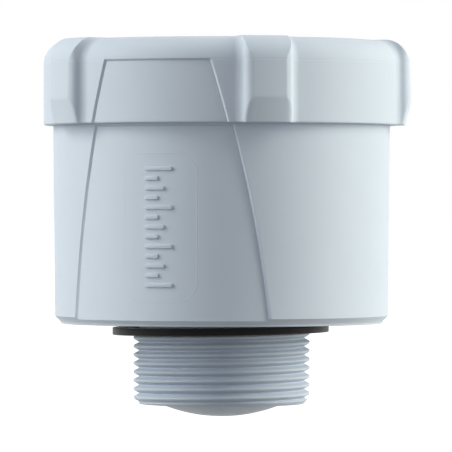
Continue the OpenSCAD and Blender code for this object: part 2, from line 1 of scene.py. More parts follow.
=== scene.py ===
"""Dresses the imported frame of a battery-powered radar level transmitter.

The grey moulded lid and housing, the threaded process fitting and its flat seal are built here as
surfaces over two parameters, and every other piece of the frame gets a finish of its own.

Lengths in the classes are millimetres and become metres when a mesh is made. Angles on round pieces
are counted from the front (-Y) towards +X, in radians unless a name ends in _deg.
"""

from __future__ import annotations

import logging
import math
from dataclasses import dataclass, field
from enum import Enum
from typing import Sequence

import bmesh
import bpy
import numpy as np
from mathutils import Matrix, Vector
from numpy.typing import NDArray

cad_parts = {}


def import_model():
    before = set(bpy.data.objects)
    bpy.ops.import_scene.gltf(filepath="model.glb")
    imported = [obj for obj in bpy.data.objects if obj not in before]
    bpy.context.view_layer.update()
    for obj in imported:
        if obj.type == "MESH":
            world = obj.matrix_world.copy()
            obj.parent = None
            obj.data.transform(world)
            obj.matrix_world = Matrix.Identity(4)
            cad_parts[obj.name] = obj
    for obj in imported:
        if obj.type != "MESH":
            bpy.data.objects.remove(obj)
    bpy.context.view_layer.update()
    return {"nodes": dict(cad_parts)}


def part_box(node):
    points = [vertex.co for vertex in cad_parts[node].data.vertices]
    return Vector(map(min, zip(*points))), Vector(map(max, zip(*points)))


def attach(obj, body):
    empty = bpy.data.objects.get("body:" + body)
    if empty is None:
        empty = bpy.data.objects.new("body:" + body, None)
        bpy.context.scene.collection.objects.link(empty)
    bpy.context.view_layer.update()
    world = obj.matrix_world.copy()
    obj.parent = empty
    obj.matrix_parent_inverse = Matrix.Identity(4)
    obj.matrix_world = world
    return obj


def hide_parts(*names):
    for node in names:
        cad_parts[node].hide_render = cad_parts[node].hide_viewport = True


Array = NDArray[np.float64]
Colour = tuple[float, float, float]
Socket = bpy.types.NodeSocket

MM = 0.001
TURN = 2.0 * math.pi
SHARP_DEG = 30.0
WHITE = (1.0, 1.0, 1.0, 1.0)

# How far a ridge or a post starts inside the wall that it stands on.
SUNK = 0.3
# The gap between the housing's shoulder and the lid's step, and the neck's first ridge above that step.
LID_PLAY = 0.8
RIDGE_RISE = 3.0

log = logging.getLogger("level_transmitter")


# ---------------------------------------------------------------- surfaces


def turned(radius: Array, height: Array, angle: Array) -> Array:
    """Points at a radius, a height and an angle from the front: (r sin a, -r cos a, z).

    Args:
        radius: radii in millimetres.
        height: heights in millimetres.
        angle: angles from the front in radians.

    Returns:
        The points, with the three coordinates on the last axis.
    """
    radius, height, angle = np.broadcast_arrays(radius, height, angle)
    return np.stack([radius * np.sin(angle), -radius * np.cos(angle), height], axis=-1)


def arc(centre: tuple[float, float], radius: float, start_deg: float, end_deg: float, steps: int) -> Array:
    """Profile points of an arc: the centre plus the radius times (cos t, sin t), with t running evenly.

    Args:
        centre: the arc's centre as radius and height.
        radius: the arc's own radius.
        start_deg: first angle in the profile's plane.
        end_deg: last angle in the profile's plane.
        steps: how many pieces the arc is cut into.

    Returns:
        An array of steps + 1 rows of radius and height.
    """
    t = np.radians(np.linspace(start_deg, end_deg, steps + 1))
    return np.stack([centre[0] + radius * np.cos(t), centre[1] + radius * np.sin(t)], axis=-1)


def spread(knots: Array, counts: Sequence[int]) -> Array:
    """Fills the spans between knots evenly: (1 - t) times one knot plus t times the next.

    Args:
        knots: values at the knots, on the last axis.
        counts: how many columns each span is cut into.

    Returns:
        The columns' values, without the last knot, because a round grid meets its start there.
    """
    span = np.repeat(np.arange(len(counts)), counts)
    t = np.concatenate([np.arange(n) / n for n in counts])
    return knots[..., span] * (1.0 - t) + knots[..., span + 1] * t


def in_mm(box: Sequence[Sequence[float]]) -> tuple[Array, Array]:
    """The lowest and the highest corner of one of the frame's boxes, in millimetres."""
    low, high = (np.array(corner) / MM for corner in box)
    return low, high


def on_axis(height: float) -> Array:
    """The point of the unit's axis at a height."""
    return np.array([0.0, 0.0, height])


def chain(stops: Sequence[float], steps: Sequence[int]) -> Array:
    """Evenly filled spans from stop to stop, end to end and with the last stop.

    Args:
        stops: values at the spans' ends.
        steps: how many pieces each span is cut into.

    Returns:
        One value more than there are pieces.
    """
    spans = [np.linspace(a, b, n + 1)[:-1] for a, b, n in zip(stops, stops[1:], steps)]
    return np.concatenate([*spans, [stops[-1]]])


def even_angles(count: int) -> Array:
    """Angles of evenly spread columns: a whole turn without its end."""
    return np.arange(count) * (TURN / count)


def eased(value: Array) -> Array:
    """A smooth step from 0 to 1: 3t^2 - 2t^3, held at the ends."""
    t = np.clip(value, 0.0, 1.0)
    return t * t * (3.0 - 2.0 * t)


def rounded_plate(half_width: float, half_height: float, corner: float, steps: int) -> Array:
    """Outline of a rectangle with round corners: four quarter circles round the inner corners.

    Args:
        half_width: half of its width.
        half_height: half of its height.
        corner: radius of its corners.
        steps: how many pieces each corner is cut into.

    Returns:
        Points anticlockwise, as rows of across and up.
    """
    turns = np.concatenate([np.linspace(q * 90.0, q * 90.0 + 90.0, steps + 1) for q in range(4)])
    t = np.radians(turns)
    side_x = np.repeat(np.array([1.0, -1.0, -1.0, 1.0]), steps + 1) * (half_width - corner)
    side_z = np.repeat(np.array([1.0, 1.0, -1.0, -1.0]), steps + 1) * (half_height - corner)
    return np.stack([side_x + corner * np.cos(t), side_z + corner * np.sin(t)], axis=-1)


@dataclass
class Surface:
    """The faces of one piece, gathered patch by patch in millimetres."""

    points: list[Array] = field(default_factory=list)
    faces: list[NDArray[np.int64]] = field(default_factory=list)
    count: int = 0

    def _keep(self, points: Array) -> int:
        """Adds points to the piece's.

        Args:
            points: the points, in any grid.

        Returns:
            The index of the first of them.
        """
        first = self.count
        flat = points.reshape(-1, 3)
        self.points.append(flat)
        self.count += len(flat)
        return first

    def add_grid(
        self,
        grid: Array,
        around: bool = True,
        along: bool = False,
        first_pole: Array | None = None,
        last_pole: Array | None = None,
    ) -> None:
        """Adds a grid as four-sided faces that look along (way of the columns) x (way of the rows).

        Args:
            grid: points by row and column.
            around: the last column meets the first.
            along: the last row meets the first.
            first_pole: a point that closes the first row with a fan.
            last_pole: a point that closes the last row with a fan.
        """
        rows, columns = grid.shape[:2]
        index = self._keep(grid) + np.arange(rows * columns).reshape(rows, columns)
        wide = np.concatenate([index, index[:, :1]], axis=1) if around else index
        tall = np.concatenate([wide, wide[:1]], axis=0) if along else wide
        self.faces.append(
            np.stack([tall[:-1, :-1], tall[:-1, 1:], tall[1:, 1:], tall[1:, :-1]], axis=-1).reshape(-1, 4)
        )
        if first_pole is not None:
            self._fan(wide[0], first_pole, False)
        if last_pole is not None:
            self._fan(wide[-1], last_pole, True)

    def _fan(self, ring: NDArray[np.int64], pole: Array, over: bool) -> None:
        """Closes a ring of points with triangles that meet at a pole.

        Args:
            ring: the points' indices, with the first again at the end.
            pole: the point at which they meet.
            over: the pole lies past the last row, and not before the first.
        """
        tip = np.full(len(ring) - 1, self._keep(pole))
        corners = [ring[:-1], ring[1:], tip] if over else [tip, ring[1:], ring[:-1]]
        self.faces.append(np.stack(corners, axis=-1))

    def add_turned(self, profile: Array, columns: int, centre: tuple[float, float]) -> None:
        """Turns a profile of radius and height about an upright line, on which its two ends lie.

        Args:
            profile: rows of radius and height, with the solid on the left of the way it runs.
            columns: how many columns a turn has.
            centre: where the line stands in plan.
        """
        stand = np.array([*centre, 0.0])
        body = profile[1:-1]
        self.add_grid(
            turned(body[:, :1], body[:, 1:], even_angles(columns)[None, :]) + stand,
            first_pole=stand + on_axis(profile[0, 1]),
            last_pole=stand + on_axis(profile[-1, 1]),
        )

    def add_block(self, low: Array, high: Array, turn: float) -> None:
        """Adds a closed block between two corners, swung about the upright axis.

        Args:
            low: the block's lowest corner before it is swung.
            high: its highest corner.
            turn: the swing in radians, anticlockwise from above.
        """
        ends = np.stack([low, high])
        corner = np.array([[0, 0], [1, 0], [1, 1], [0, 1]])
        swing = np.array([[math.cos(turn), -math.sin(turn)], [math.sin(turn), math.cos(turn)]])
        plan = np.stack([ends[corner[:, 0], 0], ends[corner[:, 1], 1]], axis=-1) @ swing.T
        middle = plan.mean(axis=0)
        self.add_grid(
            np.stack([np.column_stack([plan, np.full(4, z)]) for z in (low[2], high[2])]),
            first_pole=np.array([middle[0], middle[1], low[2]]),
            last_pole=np.array([middle[0], middle[1], high[2]]),
        )

    def make(self, name: str, material: bpy.types.Material, merge: float) -> bpy.types.Object:
        """Makes the object: one mesh in metres, smooth between its sharp edges.

        Args:
            name: the piece's name.
            material: what it is made of.
            merge: points closer than this, in metres, become one.

        Returns:
            The new object, standing at the origin.
        """
        mesh = bpy.data.meshes.new(name)
        points = np.concatenate(self.points) * MM
        sizes = np.concatenate([np.full(len(f), f.shape[1]) for f in self.faces])
        corners = np.concatenate([f.ravel() for f in self.faces])
        mesh.vertices.add(len(points))
        mesh.vertices.foreach_set("co", points.ravel())
        mesh.loops.add(len(corners))
        mesh.loops.foreach_set("vertex_index", corners.astype(np.int32))
        mesh.polygons.add(len(sizes))
        mesh.polygons.foreach_set("loop_start", (np.cumsum(sizes) - sizes).astype(np.int32))
        mesh.update(calc_edges=True)
        work = bmesh.new()
        work.from_mesh(mesh)
        bmesh.ops.remove_doubles(work, verts=work.verts[:], dist=merge)
        work.to_mesh(mesh)
        work.free()
        mesh.validate()
        mesh.polygons.foreach_set("use_smooth", np.ones(len(mesh.polygons), dtype=bool))
        mesh.set_sharp_from_angle(angle=math.radians(SHARP_DEG))
        mesh.materials.append(material)
        piece = bpy.data.objects.new(name, mesh)
        bpy.context.scene.collection.objects.link(piece)
        return piece


# ---------------------------------------------------------------- finishes


class Tree:
    """A node tree, with short calls for the steps that the finishes, the floor and the world share."""

    def __init__(self, tree: bpy.types.NodeTree) -> None:
        """Takes hold of a tree."""
        self.tree = tree

    def add(self, kind: str, inputs: dict[str | int, object], **settings: object) -> bpy.types.Node:
        """Adds a node, sets its properties and fills its sockets.

        Args:
            kind: the node's type.
            inputs: values, or sockets to link from, by the input's name or number.
            **settings: the node's own properties.

        Returns:
            The new node.
        """
        node = self.tree.nodes.new(kind)
        for key, value in settings.items():
            setattr(node, key, value)
        for key, value in inputs.items():
            if isinstance(value, Socket):
                self.tree.links.new(value, node.inputs[key])
            else:
                node.inputs[key].default_value = value
        return node

    def first(self, kind: str, inputs: dict[str | int, object], **settings: object) -> Socket:
        """Adds a node as add does, and returns its first output."""
        return self.add(kind, inputs, **settings).outputs[0]

    def math(self, operation: str, *values: object) -> Socket:
        """One step of arithmetic on values or sockets."""
        return self.first("ShaderNodeMath", dict(enumerate(values)), operation=operation)

    def distance(self, a: Socket, b: Socket) -> Socket:
        """Length of a step with two parts at right angles: the root of the sum of their squares."""
        return self.math("SQRT", self.math("ADD", *(self.math("MULTIPLY", v, v) for v in (a, b))))

    def seen(self) -> Socket:
        """1 for rays from the camera, from gloss and through clear pieces, and 0 for the rest.

        Returns:
            The socket that carries it.
        """
        rays = self.add("ShaderNodeLightPath", {}).outputs
        straight = self.math("MAXIMUM", rays["Is Camera Ray"], rays["Is Glossy Ray"])
        return self.math("MAXIMUM", straight, rays["Is Transmission Ray"])


class Nodes(Tree):
    """A material's node tree, with its shader and its Object coordinates."""

    def __init__(self, name: str) -> None:
        """Starts the material.

        Args:
            name: the material's name.
        """
        self.material = bpy.data.materials.new(name)
        self.material.use_nodes = True
        super().__init__(self.material.node_tree)
        self.shader = self.tree.nodes["Principled BSDF"]
        self.place = self.add("ShaderNodeTexCoord", {}).outputs["Object"]

    def to(self, socket: str, source: Socket) -> None:
        """Links a source to one of the shader's sockets."""
        self.tree.links.new(source, self.shader.inputs[socket])

    def noise(self, size: float, detail: float = 2.0, place: Socket | None = None) -> Socket:
        """Noise from 0 to 1 whose blotches are about this many millimetres across."""
        inputs = {"Vector": place or self.place, "Scale": 1.0 / (size * MM), "Detail": detail, "Roughness": 0.55}
        return self.first("ShaderNodeTexNoise", inputs)

    def drawn_out(self, scale: Colour, place: Socket | None = None) -> Socket:
        """Coordinates scaled apart on each axis, which draws a pattern out."""
        return self.first("ShaderNodeMapping", {"Vector": place or self.place, "Scale": scale})

    def axes(self) -> tuple[Socket, Socket, Socket]:
        """The three Object coordinates in millimetres."""
        return tuple(self.add("ShaderNodeSeparateXYZ", {0: self.drawn_out((1.0 / MM,) * 3)}).outputs)

    def lathe_place(self) -> Socket:
        """Coordinates (radius, angle, height), in which turning marks run round.

        Returns:
            The socket that carries them.
        """
        x, y, z = self.axes()
        angle = self.math("ARCTAN2", y, x)
        return self.first("ShaderNodeCombineXYZ", {0: self.distance(x, y), 1: angle, 2: z})

    def ranged(self, value: Socket, low: float, high: float, start: float = 0.3, end: float = 0.7) -> Socket:
        """Maps start..end of a value onto low..high, smoothly, and holds it outside."""
        inputs = {"Value": value, "From Min": start, "From Max": end, "To Min": low, "To Max": high}
        return self.first("ShaderNodeMapRange", inputs, interpolation_type="SMOOTHSTEP")

    def mixed(self, factor: Socket, a: object, b: object) -> Socket:
        """Mixes two colours, or sockets that carry them, by a factor from 0 to 1."""
        ends = [v if isinstance(v, Socket) else (*v, 1.0) for v in (a, b)]
        return self.add("ShaderNodeMix", {0: factor, 6: ends[0], 7: ends[1]}, data_type="RGBA").outputs[2]

    def raise_by(self, value: Socket, height: float = 1.0) -> None:
        """Bumps the surface by a value times a height in millimetres."""
        inputs = {"Height": self.math("MULTIPLY", value, height), "Distance": MM, "Strength": 1.0}
        self.to("Normal", self.first("ShaderNodeBump", inputs))


def shaded(colour: Colour, share: float) -> Colour:
    """The colour times a share, kept at or under 1."""
    return tuple(min(c * share, 1.0) for c in colour)  # type: ignore[return-value]


@dataclass(frozen=True)
class Finish:
    """What every finish has: a name, a colour and how rough it is."""

    name: str
    colour: Colour
    rough: float

    def material(self) -> bpy.types.Material:
        """Builds the finish's material.

        Returns:
            The new material.
        """
        nodes = Nodes(self.name)
        nodes.shader.inputs["Base Color"].default_value = (*self.colour, 1.0)
        nodes.shader.inputs["Roughness"].default_value = self.rough
        self.build(nodes)
        return nodes.material

    def build(self, nodes: Nodes) -> None:
        """Adds the finish's own pattern to the tree."""
        raise NotImplementedError

    def toned(self, nodes: Nodes, value: Socket, dark: float, light: float) -> Socket:
        """The finish's colour times dark to times light, by a value from 0 to 1."""
        return nodes.mixed(value, shaded(self.colour, dark), shaded(self.colour, light))

    def dulled(self, nodes: Nodes, value: Socket, less: float, more: float) -> None:
        """Lets the roughness run by a value, from less under the finish's own to more over it."""
        nodes.to("Roughness", nodes.ranged(value, self.rough - less, self.rough + more))


@dataclass(frozen=True)
class LevelLine:
    """A fine step round a moulding at one height, where two halves of its mould met."""

    level: float
    width: float
    height: float

    def relief(self, nodes: Nodes) -> Socket:
        """Height of the step: all of it up to a width below its level, easing to nothing at the level."""
        return nodes.ranged(nodes.axes()[2], self.height, 0.0, self.level - self.width, self.level)


@dataclass(frozen=True)
class FieldLine:
    """A fine line round a field with round corners on the front, left by an insert in the mould.

    The distance to it is that to a rounded rectangle: the length of what lies outside the corners'
    centres, less the corner's radius, with arc length across and height up.
    """

    half_width: float
    low: float
    high: float
    corner: float
    radius: float
    width: float
    height: float

    def relief(self, nodes: Nodes) -> Socket:
        """Height of the line on the front half, by the distance to the rounded rectangle.

        Args:
            nodes: the material's tree.

        Returns:
            The socket that carries it.
        """
        x, y, z = nodes.axes()
        across = nodes.math("MULTIPLY", nodes.math("ARCTAN2", x, nodes.math("MULTIPLY", y, -1.0)), self.radius)
        up = nodes.math("SUBTRACT", z, (self.low + self.high) / 2.0)
        sides = ((across, self.half_width), (up, (self.high - self.low) / 2.0))
        over = [nodes.math("SUBTRACT", nodes.math("ABSOLUTE", v), half - self.corner) for v, half in sides]
        outside = nodes.distance(*(nodes.math("MAXIMUM", v, 0.0) for v in over))
        inside = nodes.math("MINIMUM", nodes.math("MAXIMUM", *over), 0.0)
        away = nodes.math("ABSOLUTE", nodes.math("SUBTRACT", nodes.math("ADD", outside, inside), self.corner))
        return nodes.ranged(away, self.height, 0.0, 0.0, self.width)


@dataclass(frozen=True)
class MouldedPlastic(Finish):
    """A moulding with eroded grain, patchy gloss and a trace of drift in its colour."""

    grain: float = 0.3
    depth: float = 0.006
    drift: float = 0.03
    specular: float = 0.25
    lines: tuple[LevelLine | FieldLine, ...] = ()

    def build(self, nodes: Nodes) -> None:
        """Grain as bump, gloss that varies slowly, slow drift in colour, and the mould's lines.

        Args:
            nodes: the material's tree.
        """
        nodes.shader.inputs["Specular IOR Level"].default_value = self.specular
        nodes.to("Base Color", self.toned(nodes, nodes.noise(14.0, 3.0), 1.0 - self.drift, 1.0 + self.drift))
        self.dulled(nodes, nodes.noise(3.0, 4.0), 0.04, 0.04)
        height = nodes.math("MULTIPLY", nodes.noise(self.grain, 3.0), self.depth)
        for line in self.lines:
            height = nodes.math("ADD", height, line.relief(nodes))
        nodes.raise_by(height)


@dataclass(frozen=True)
class Rubber(Finish):
    """Dark sealing rubber: dull, with a fine grain, a little dust and slow waves."""

    gloss: float = 0.5
    bloom: float = 0.0

    def build(self, nodes: Nodes) -> None:
        """Grain and waves as bump, specks of dust that lighten it and a pale bloom seen at a slant.

        Args:
            nodes: the material's tree.
        """
        nodes.shader.inputs["Specular IOR Level"].default_value = self.gloss
        nodes.shader.inputs["Sheen Weight"].default_value = self.bloom
        dust = nodes.ranged(nodes.noise(0.5, 4.0), 0.0, 1.0, 0.6, 0.8)
        nodes.to("Base Color", self.toned(nodes, dust, 1.0, 2.2))
        self.dulled(nodes, nodes.noise(2.0, 3.0), 0.08, 0.06)
        grain = nodes.math("MULTIPLY", nodes.noise(0.25, 3.0), 0.02)
        waves = nodes.math("MULTIPLY", nodes.noise(4.0), 0.06)
        nodes.raise_by(nodes.math("ADD", grain, waves))


class Lay(Enum):
    """Which way the marks of working run on a metal piece, as the scale that draws them out."""

    TURNED = (MM, 0.3 * MM, MM)
    DRAWN = (1.0, 1.0, 0.05)
    ROLLED = (0.05, 1.0, 1.0)
    CAST = (1.0, 1.0, 1.0)


@dataclass(frozen=True)
class Metal(Finish):
    """Bare or plated metal with the marks of its making."""

    lay: Lay = Lay.CAST
    size: float = 0.3
    depth: float = 0.004

    def build(self, nodes: Nodes) -> None:
        """Marks drawn out along the lay, in the gloss and as bump, and slow stains in the colour.

        Args:
            nodes: the material's tree.
        """
        nodes.shader.inputs["Metallic"].default_value = 1.0
        place = nodes.lathe_place() if self.lay is Lay.TURNED else nodes.place
        marks = nodes.noise(self.size, 3.0, nodes.drawn_out(self.lay.value, place))
        nodes.to("Base Color", self.toned(nodes, nodes.noise(5.0, 3.0), 0.9, 1.05))
        self.dulled(nodes, marks, 0.07, 0.09)
        nodes.raise_by(marks, self.depth)


@dataclass(frozen=True)
class CircuitBoard(Finish):
    """Glass-fibre board under solder mask: tracks a shade lighter, and rows of plated holes."""

    track: float = 0.7
    pitch: float = 2.54
    gold: Colour = (0.78, 0.6, 0.26)

    def build(self, nodes: Nodes) -> None:
        """Tracks where drawn-out noise is high, and gold rings on a square pitch where slow noise lets them.

        Args:
            nodes: the material's tree.
        """
        x, y, _ = nodes.axes()
        runs = [nodes.noise(self.track, 0.0, nodes.drawn_out(s)) for s in ((0.08, 1.0, 1.0), (1.0, 0.08, 1.0))]
        chosen = nodes.ranged(nodes.noise(9.0, 0.0), 0.0, 1.0, 0.49, 0.51)
        level = nodes.first("ShaderNodeMix", {0: chosen, 2: runs[0], 3: runs[1]})
        track = nodes.ranged(level, 0.0, 1.0, 0.5, 0.53)
        cells = [nodes.math("SUBTRACT", nodes.math("FRACT", nodes.math("DIVIDE", v, self.pitch)), 0.5) for v in (x, y)]
        ring = nodes.ranged(nodes.distance(*cells), 1.0, 0.0, 0.14, 0.17)
        shown = nodes.math("MULTIPLY", ring, nodes.ranged(nodes.noise(7.0, 1.0), 0.0, 1.0, 0.58, 0.6))
        nodes.to("Base Color", nodes.mixed(shown, self.toned(nodes, track, 1.0, 1.5), self.gold))
        nodes.to("Metallic", shown)
        self.dulled(nodes, nodes.noise(0.4, 3.0), 0.05, 0.05)
        nodes.raise_by(track, 0.03)


@dataclass(frozen=True)
class CellSleeve(Finish):
    """A shrink sleeve over a battery cell, open at its ends where the can's nickel shows."""

    half: float = 24.4
    middle: float = 0.0
    nickel: Colour = (0.72, 0.7, 0.64)

    def build(self, nodes: Nodes) -> None:
        """Film up to the ends' folds, nickel past them, and the film's slow waves as bump.

        Args:
            nodes: the material's tree.
        """
        along = nodes.math("ABSOLUTE", nodes.math("SUBTRACT", nodes.axes()[1], self.middle))
        bare = nodes.ranged(along, 0.0, 1.0, self.half, self.half + 0.06)
        film = self.toned(nodes, nodes.noise(6.0, 3.0), 0.92, 1.08)
        nodes.to("Base Color", nodes.mixed(bare, film, self.nickel))
        nodes.to("Metallic", bare)
        self.dulled(nodes, nodes.noise(1.2, 4.0), 0.05, 0.1)
        nodes.raise_by(nodes.noise(2.5, 2.0), 0.05)


@dataclass(frozen=True)
class ClearPlastic(Finish):
    """Clear moulded plastic with faint flow marks."""

    def build(self, nodes: Nodes) -> None:
        """Light passes through; flow marks vary the gloss and bump the face.

        Args:
            nodes: the material's tree.
        """
        nodes.shader.inputs["Transmission Weight"].default_value = 0.85
        nodes.shader.inputs["IOR"].default_value = 1.49
        flow = nodes.noise(1.5, 3.0, nodes.drawn_out((1.0, 1.0, 0.2)))
        nodes.to("Base Color", self.toned(nodes, flow, 0.96, 1.04))
        self.dulled(nodes, flow, 0.04, 0.06)
        nodes.raise_by(flow, 0.01)


@dataclass(frozen=True)
class Ceramic(Finish):
    """Fired ceramic: speckled, dull, with pores."""

    def build(self, nodes: Nodes) -> None:
        """Speckle in the colour and pores as bump.

        Args:
            nodes: the material's tree.
        """
        speck = nodes.noise(0.25, 4.0)
        nodes.to("Base Color", self.toned(nodes, speck, 0.85, 1.12))
        self.dulled(nodes, speck, 0.06, 0.06)
        nodes.raise_by(speck, 0.01)


# ---------------------------------------------------------------- the two mouldings


class Piece:
    """What every new piece has: a name, and a surface whose points nearer than merge become one."""

    name: str
    merge: float = 1e-7

    def surface(self) -> Surface:
        """Lays out the piece's faces."""
        raise NotImplementedError

    def build(self, finish: Finish) -> bpy.types.Object:
        """Makes the piece's object in its finish."""
        return self.surface().make(self.name, finish.material(), self.merge)


@dataclass(frozen=True)
class FrontPanel:
    """The shallow field on the front, whose bowed sides run down the lid and the housing.

    Half its width at height z is its widest half less what a circle of side_r falls away from it:
    half(z) = half_width - side_r + sqrt(side_r^2 - (z + level)^2). Its edge is one section, given as
    depth (sunk) by distance outwards from that line (out): the field, a shallow groove, and a bevel
    that climbs to the face.
    """

    half_width: float = 29.2
    side_r: float = 355.0
    level: float = 26.5
    depth: float = 0.52
    out: tuple[float, ...] = (-0.6, -0.36, -0.3, -0.24, 0.24, 0.32, 0.6)
    sunk: tuple[float, ...] = (0.52, 0.53, 0.62, 0.6, 0.02, 0.0, 0.0)

    def half(self, z: Array) -> Array:
        """Half the panel's width at each height."""
        return self.half_width - self.side_r + np.sqrt(self.side_r**2 - (z + self.level) ** 2)

    def edges(self, z: Array, radius: float) -> Array:
        """Angles of the columns across one edge, from the field out to the face.

        Args:
            z: heights of the rows.
            radius: the face's radius.

        Returns:
            The angles by row and column.
        """
        return np.arcsin((self.half(z)[:, None] + np.array(self.out)[None, :]) / radius)

    def cut(self, angle: Array, z: Array, top: float, radius: float) -> Array:
        """Depth of the panel under the face: the section's, by the greater distance past side and top.

        Args:
            angle: angles by row and column.
            z: heights of the rows.
            top: height of the panel's upper edge.
            radius: the face's radius.

        Returns:
            The depths by row and column.
        """
        side = radius * np.abs(np.sin(angle)) - self.half(z)[:, None]
        behind = np.where(np.cos(angle) > 0.0, side, self.out[-1])
        return np.interp(np.maximum(behind, (z - top)[:, None]), self.out, self.sunk)


@dataclass(frozen=True)
class Grips:
    """The grips round the lid: an outline run upright, cut by a turned face.

    In plan each grip is an arc of face_half each way and two flanks. A flank leaves the face at
    start_deg, turns down through the edge's two arcs to steep_deg and back through the hollow's two,
    so that it blends softly into the wall. Its shape is kept as share of the grip's height by angle:
    an arc of radius R that turns from s to t moves along by R |sin t - sin s| and down by
    R |cos s - cos t|.
    """

    count: int = 5
    face_r: float = 51.34
    wall_r: float = 48.2
    face_half: float = math.radians(5.0)
    crease_w: float = math.radians(0.25)
    edge: tuple[float, float] = (5.5, 2.4)
    hollow: tuple[float, float] = (1.9, 3.7)
    start_deg: float = 14.0
    soft_edge_deg: float = 24.0
    soft_foot_deg: float = 32.0
    steep_deg: float = 67.0

    def flank(self) -> tuple[Array, Array]:
        """The flank from the face to the wall.

        Returns:
            Angles from the grip's middle, and the share of the grip's height at each.
        """
        stops = (self.start_deg, self.soft_edge_deg, self.steep_deg, self.soft_foot_deg, 0.0)
        steps = (12, 16, 14, 14)
        turns = np.radians(chain(stops, steps))
        radii = np.repeat([*self.edge, *self.hollow], steps)
        along, down = (
            np.concatenate([[0.0], np.cumsum(radii * np.abs(np.diff(wave(turns))))]) for wave in (np.sin, np.cos)
        )
        return self.face_half + 2.0 * along / (self.face_r + self.wall_r), 1.0 - down / down[-1]

    def knots(self, wall: Array, face: Array, limit: Array) -> tuple[Array, Array]:
        """Angles from a grip's middle to its crease, where the turned face cuts the flank, and its foot.

        Args:
            wall: the wall's radius by row.
            face: the outline's face radius by row.
            limit: the turned face's radius by row.

        Returns:
            The two angles by row.
        """
        angle, share = self.flank()
        crease = np.interp(-(limit - wall) / (face - wall), -share, angle)
        return crease, np.full_like(crease, angle[-1])

    def radius(self, angle: Array, wall: Array, face: Array, limit: Array, blend: Array) -> Array:
        """Outer radius of the lid by angle from the front.

        It is the lesser of the outline and the turned face. Where the two lie nearer than blend, it
        falls below both by (blend - gap)^2 / (4 blend), which rounds the crease between them.

        Args:
            angle: angles by row and column.
            wall: the wall's radius by row, as a column.
            face: the outline's face radius by row, as a column.
            limit: the turned face's radius by row, as a column.
            blend: the crease's rounding by row, as a column.

        Returns:
            The radii by row and column.
        """
        pitch = TURN / self.count
        away = np.abs(np.mod(angle, pitch) - pitch / 2.0)
        outline = wall + (face - wall) * np.interp(away, *self.flank())
        near = np.maximum(blend - np.abs(outline - limit), 0.0)
        return np.minimum(outline, limit) - near**2 / (4.0 * np.maximum(blend, 1e-6))


@dataclass(frozen=True)
class ThreadRidges:
    """Short ridges of a thread with several starts, each a low ridge carried along a helix.

    Across a ridge the height rises in a straight flank to a flat, with the corner between them
    rounded over soft each way, and along it the height eases in and out over the run-outs at its
    ends.
    """

    root: float
    tip: float
    level: float
    first_deg: float = 0.0
    starts: int = 6
    lead: float = 24.0
    sweep_deg: float = 50.0
    runout_deg: float = 4.0
    root_w: float = 1.8
    tip_w: float = 1.0
    soft: float = 0.25

    def add_to(self, surface: Surface) -> None:
        """Adds every ridge, on the outside of a neck or on the inside of a bore.

        Args:
            surface: the moulding's surface.
        """
        outward = 1.0 if self.tip > self.root else -1.0
        across = np.linspace(-1.0, 1.0, 15) * outward
        turn = np.radians(np.linspace(0.0, self.sweep_deg, 41))
        rise = (1.0 - np.abs(across)) / (1.0 - self.tip_w / self.root_w)
        corner = rise - (rise - 1.0 + self.soft) ** 2 / (4.0 * self.soft)
        crest = np.where(rise < 1.0 - self.soft, rise, np.where(rise > 1.0 + self.soft, 1.0, corner))
        ends = np.radians(self.runout_deg)
        ease = eased(turn / ends) * eased((turn[-1] - turn) / ends)
        radius = self.root + (self.tip - self.root) * crest[:, None] * ease[None, :]
        height = self.level + across[:, None] * self.root_w / 2.0 + self.lead * turn[None, :] / TURN
        for k in range(self.starts):
            start = math.radians(self.first_deg + 90.0 + 360.0 * k / self.starts)
            surface.add_grid(turned(radius, height, start + turn[None, :]), around=False, along=True)


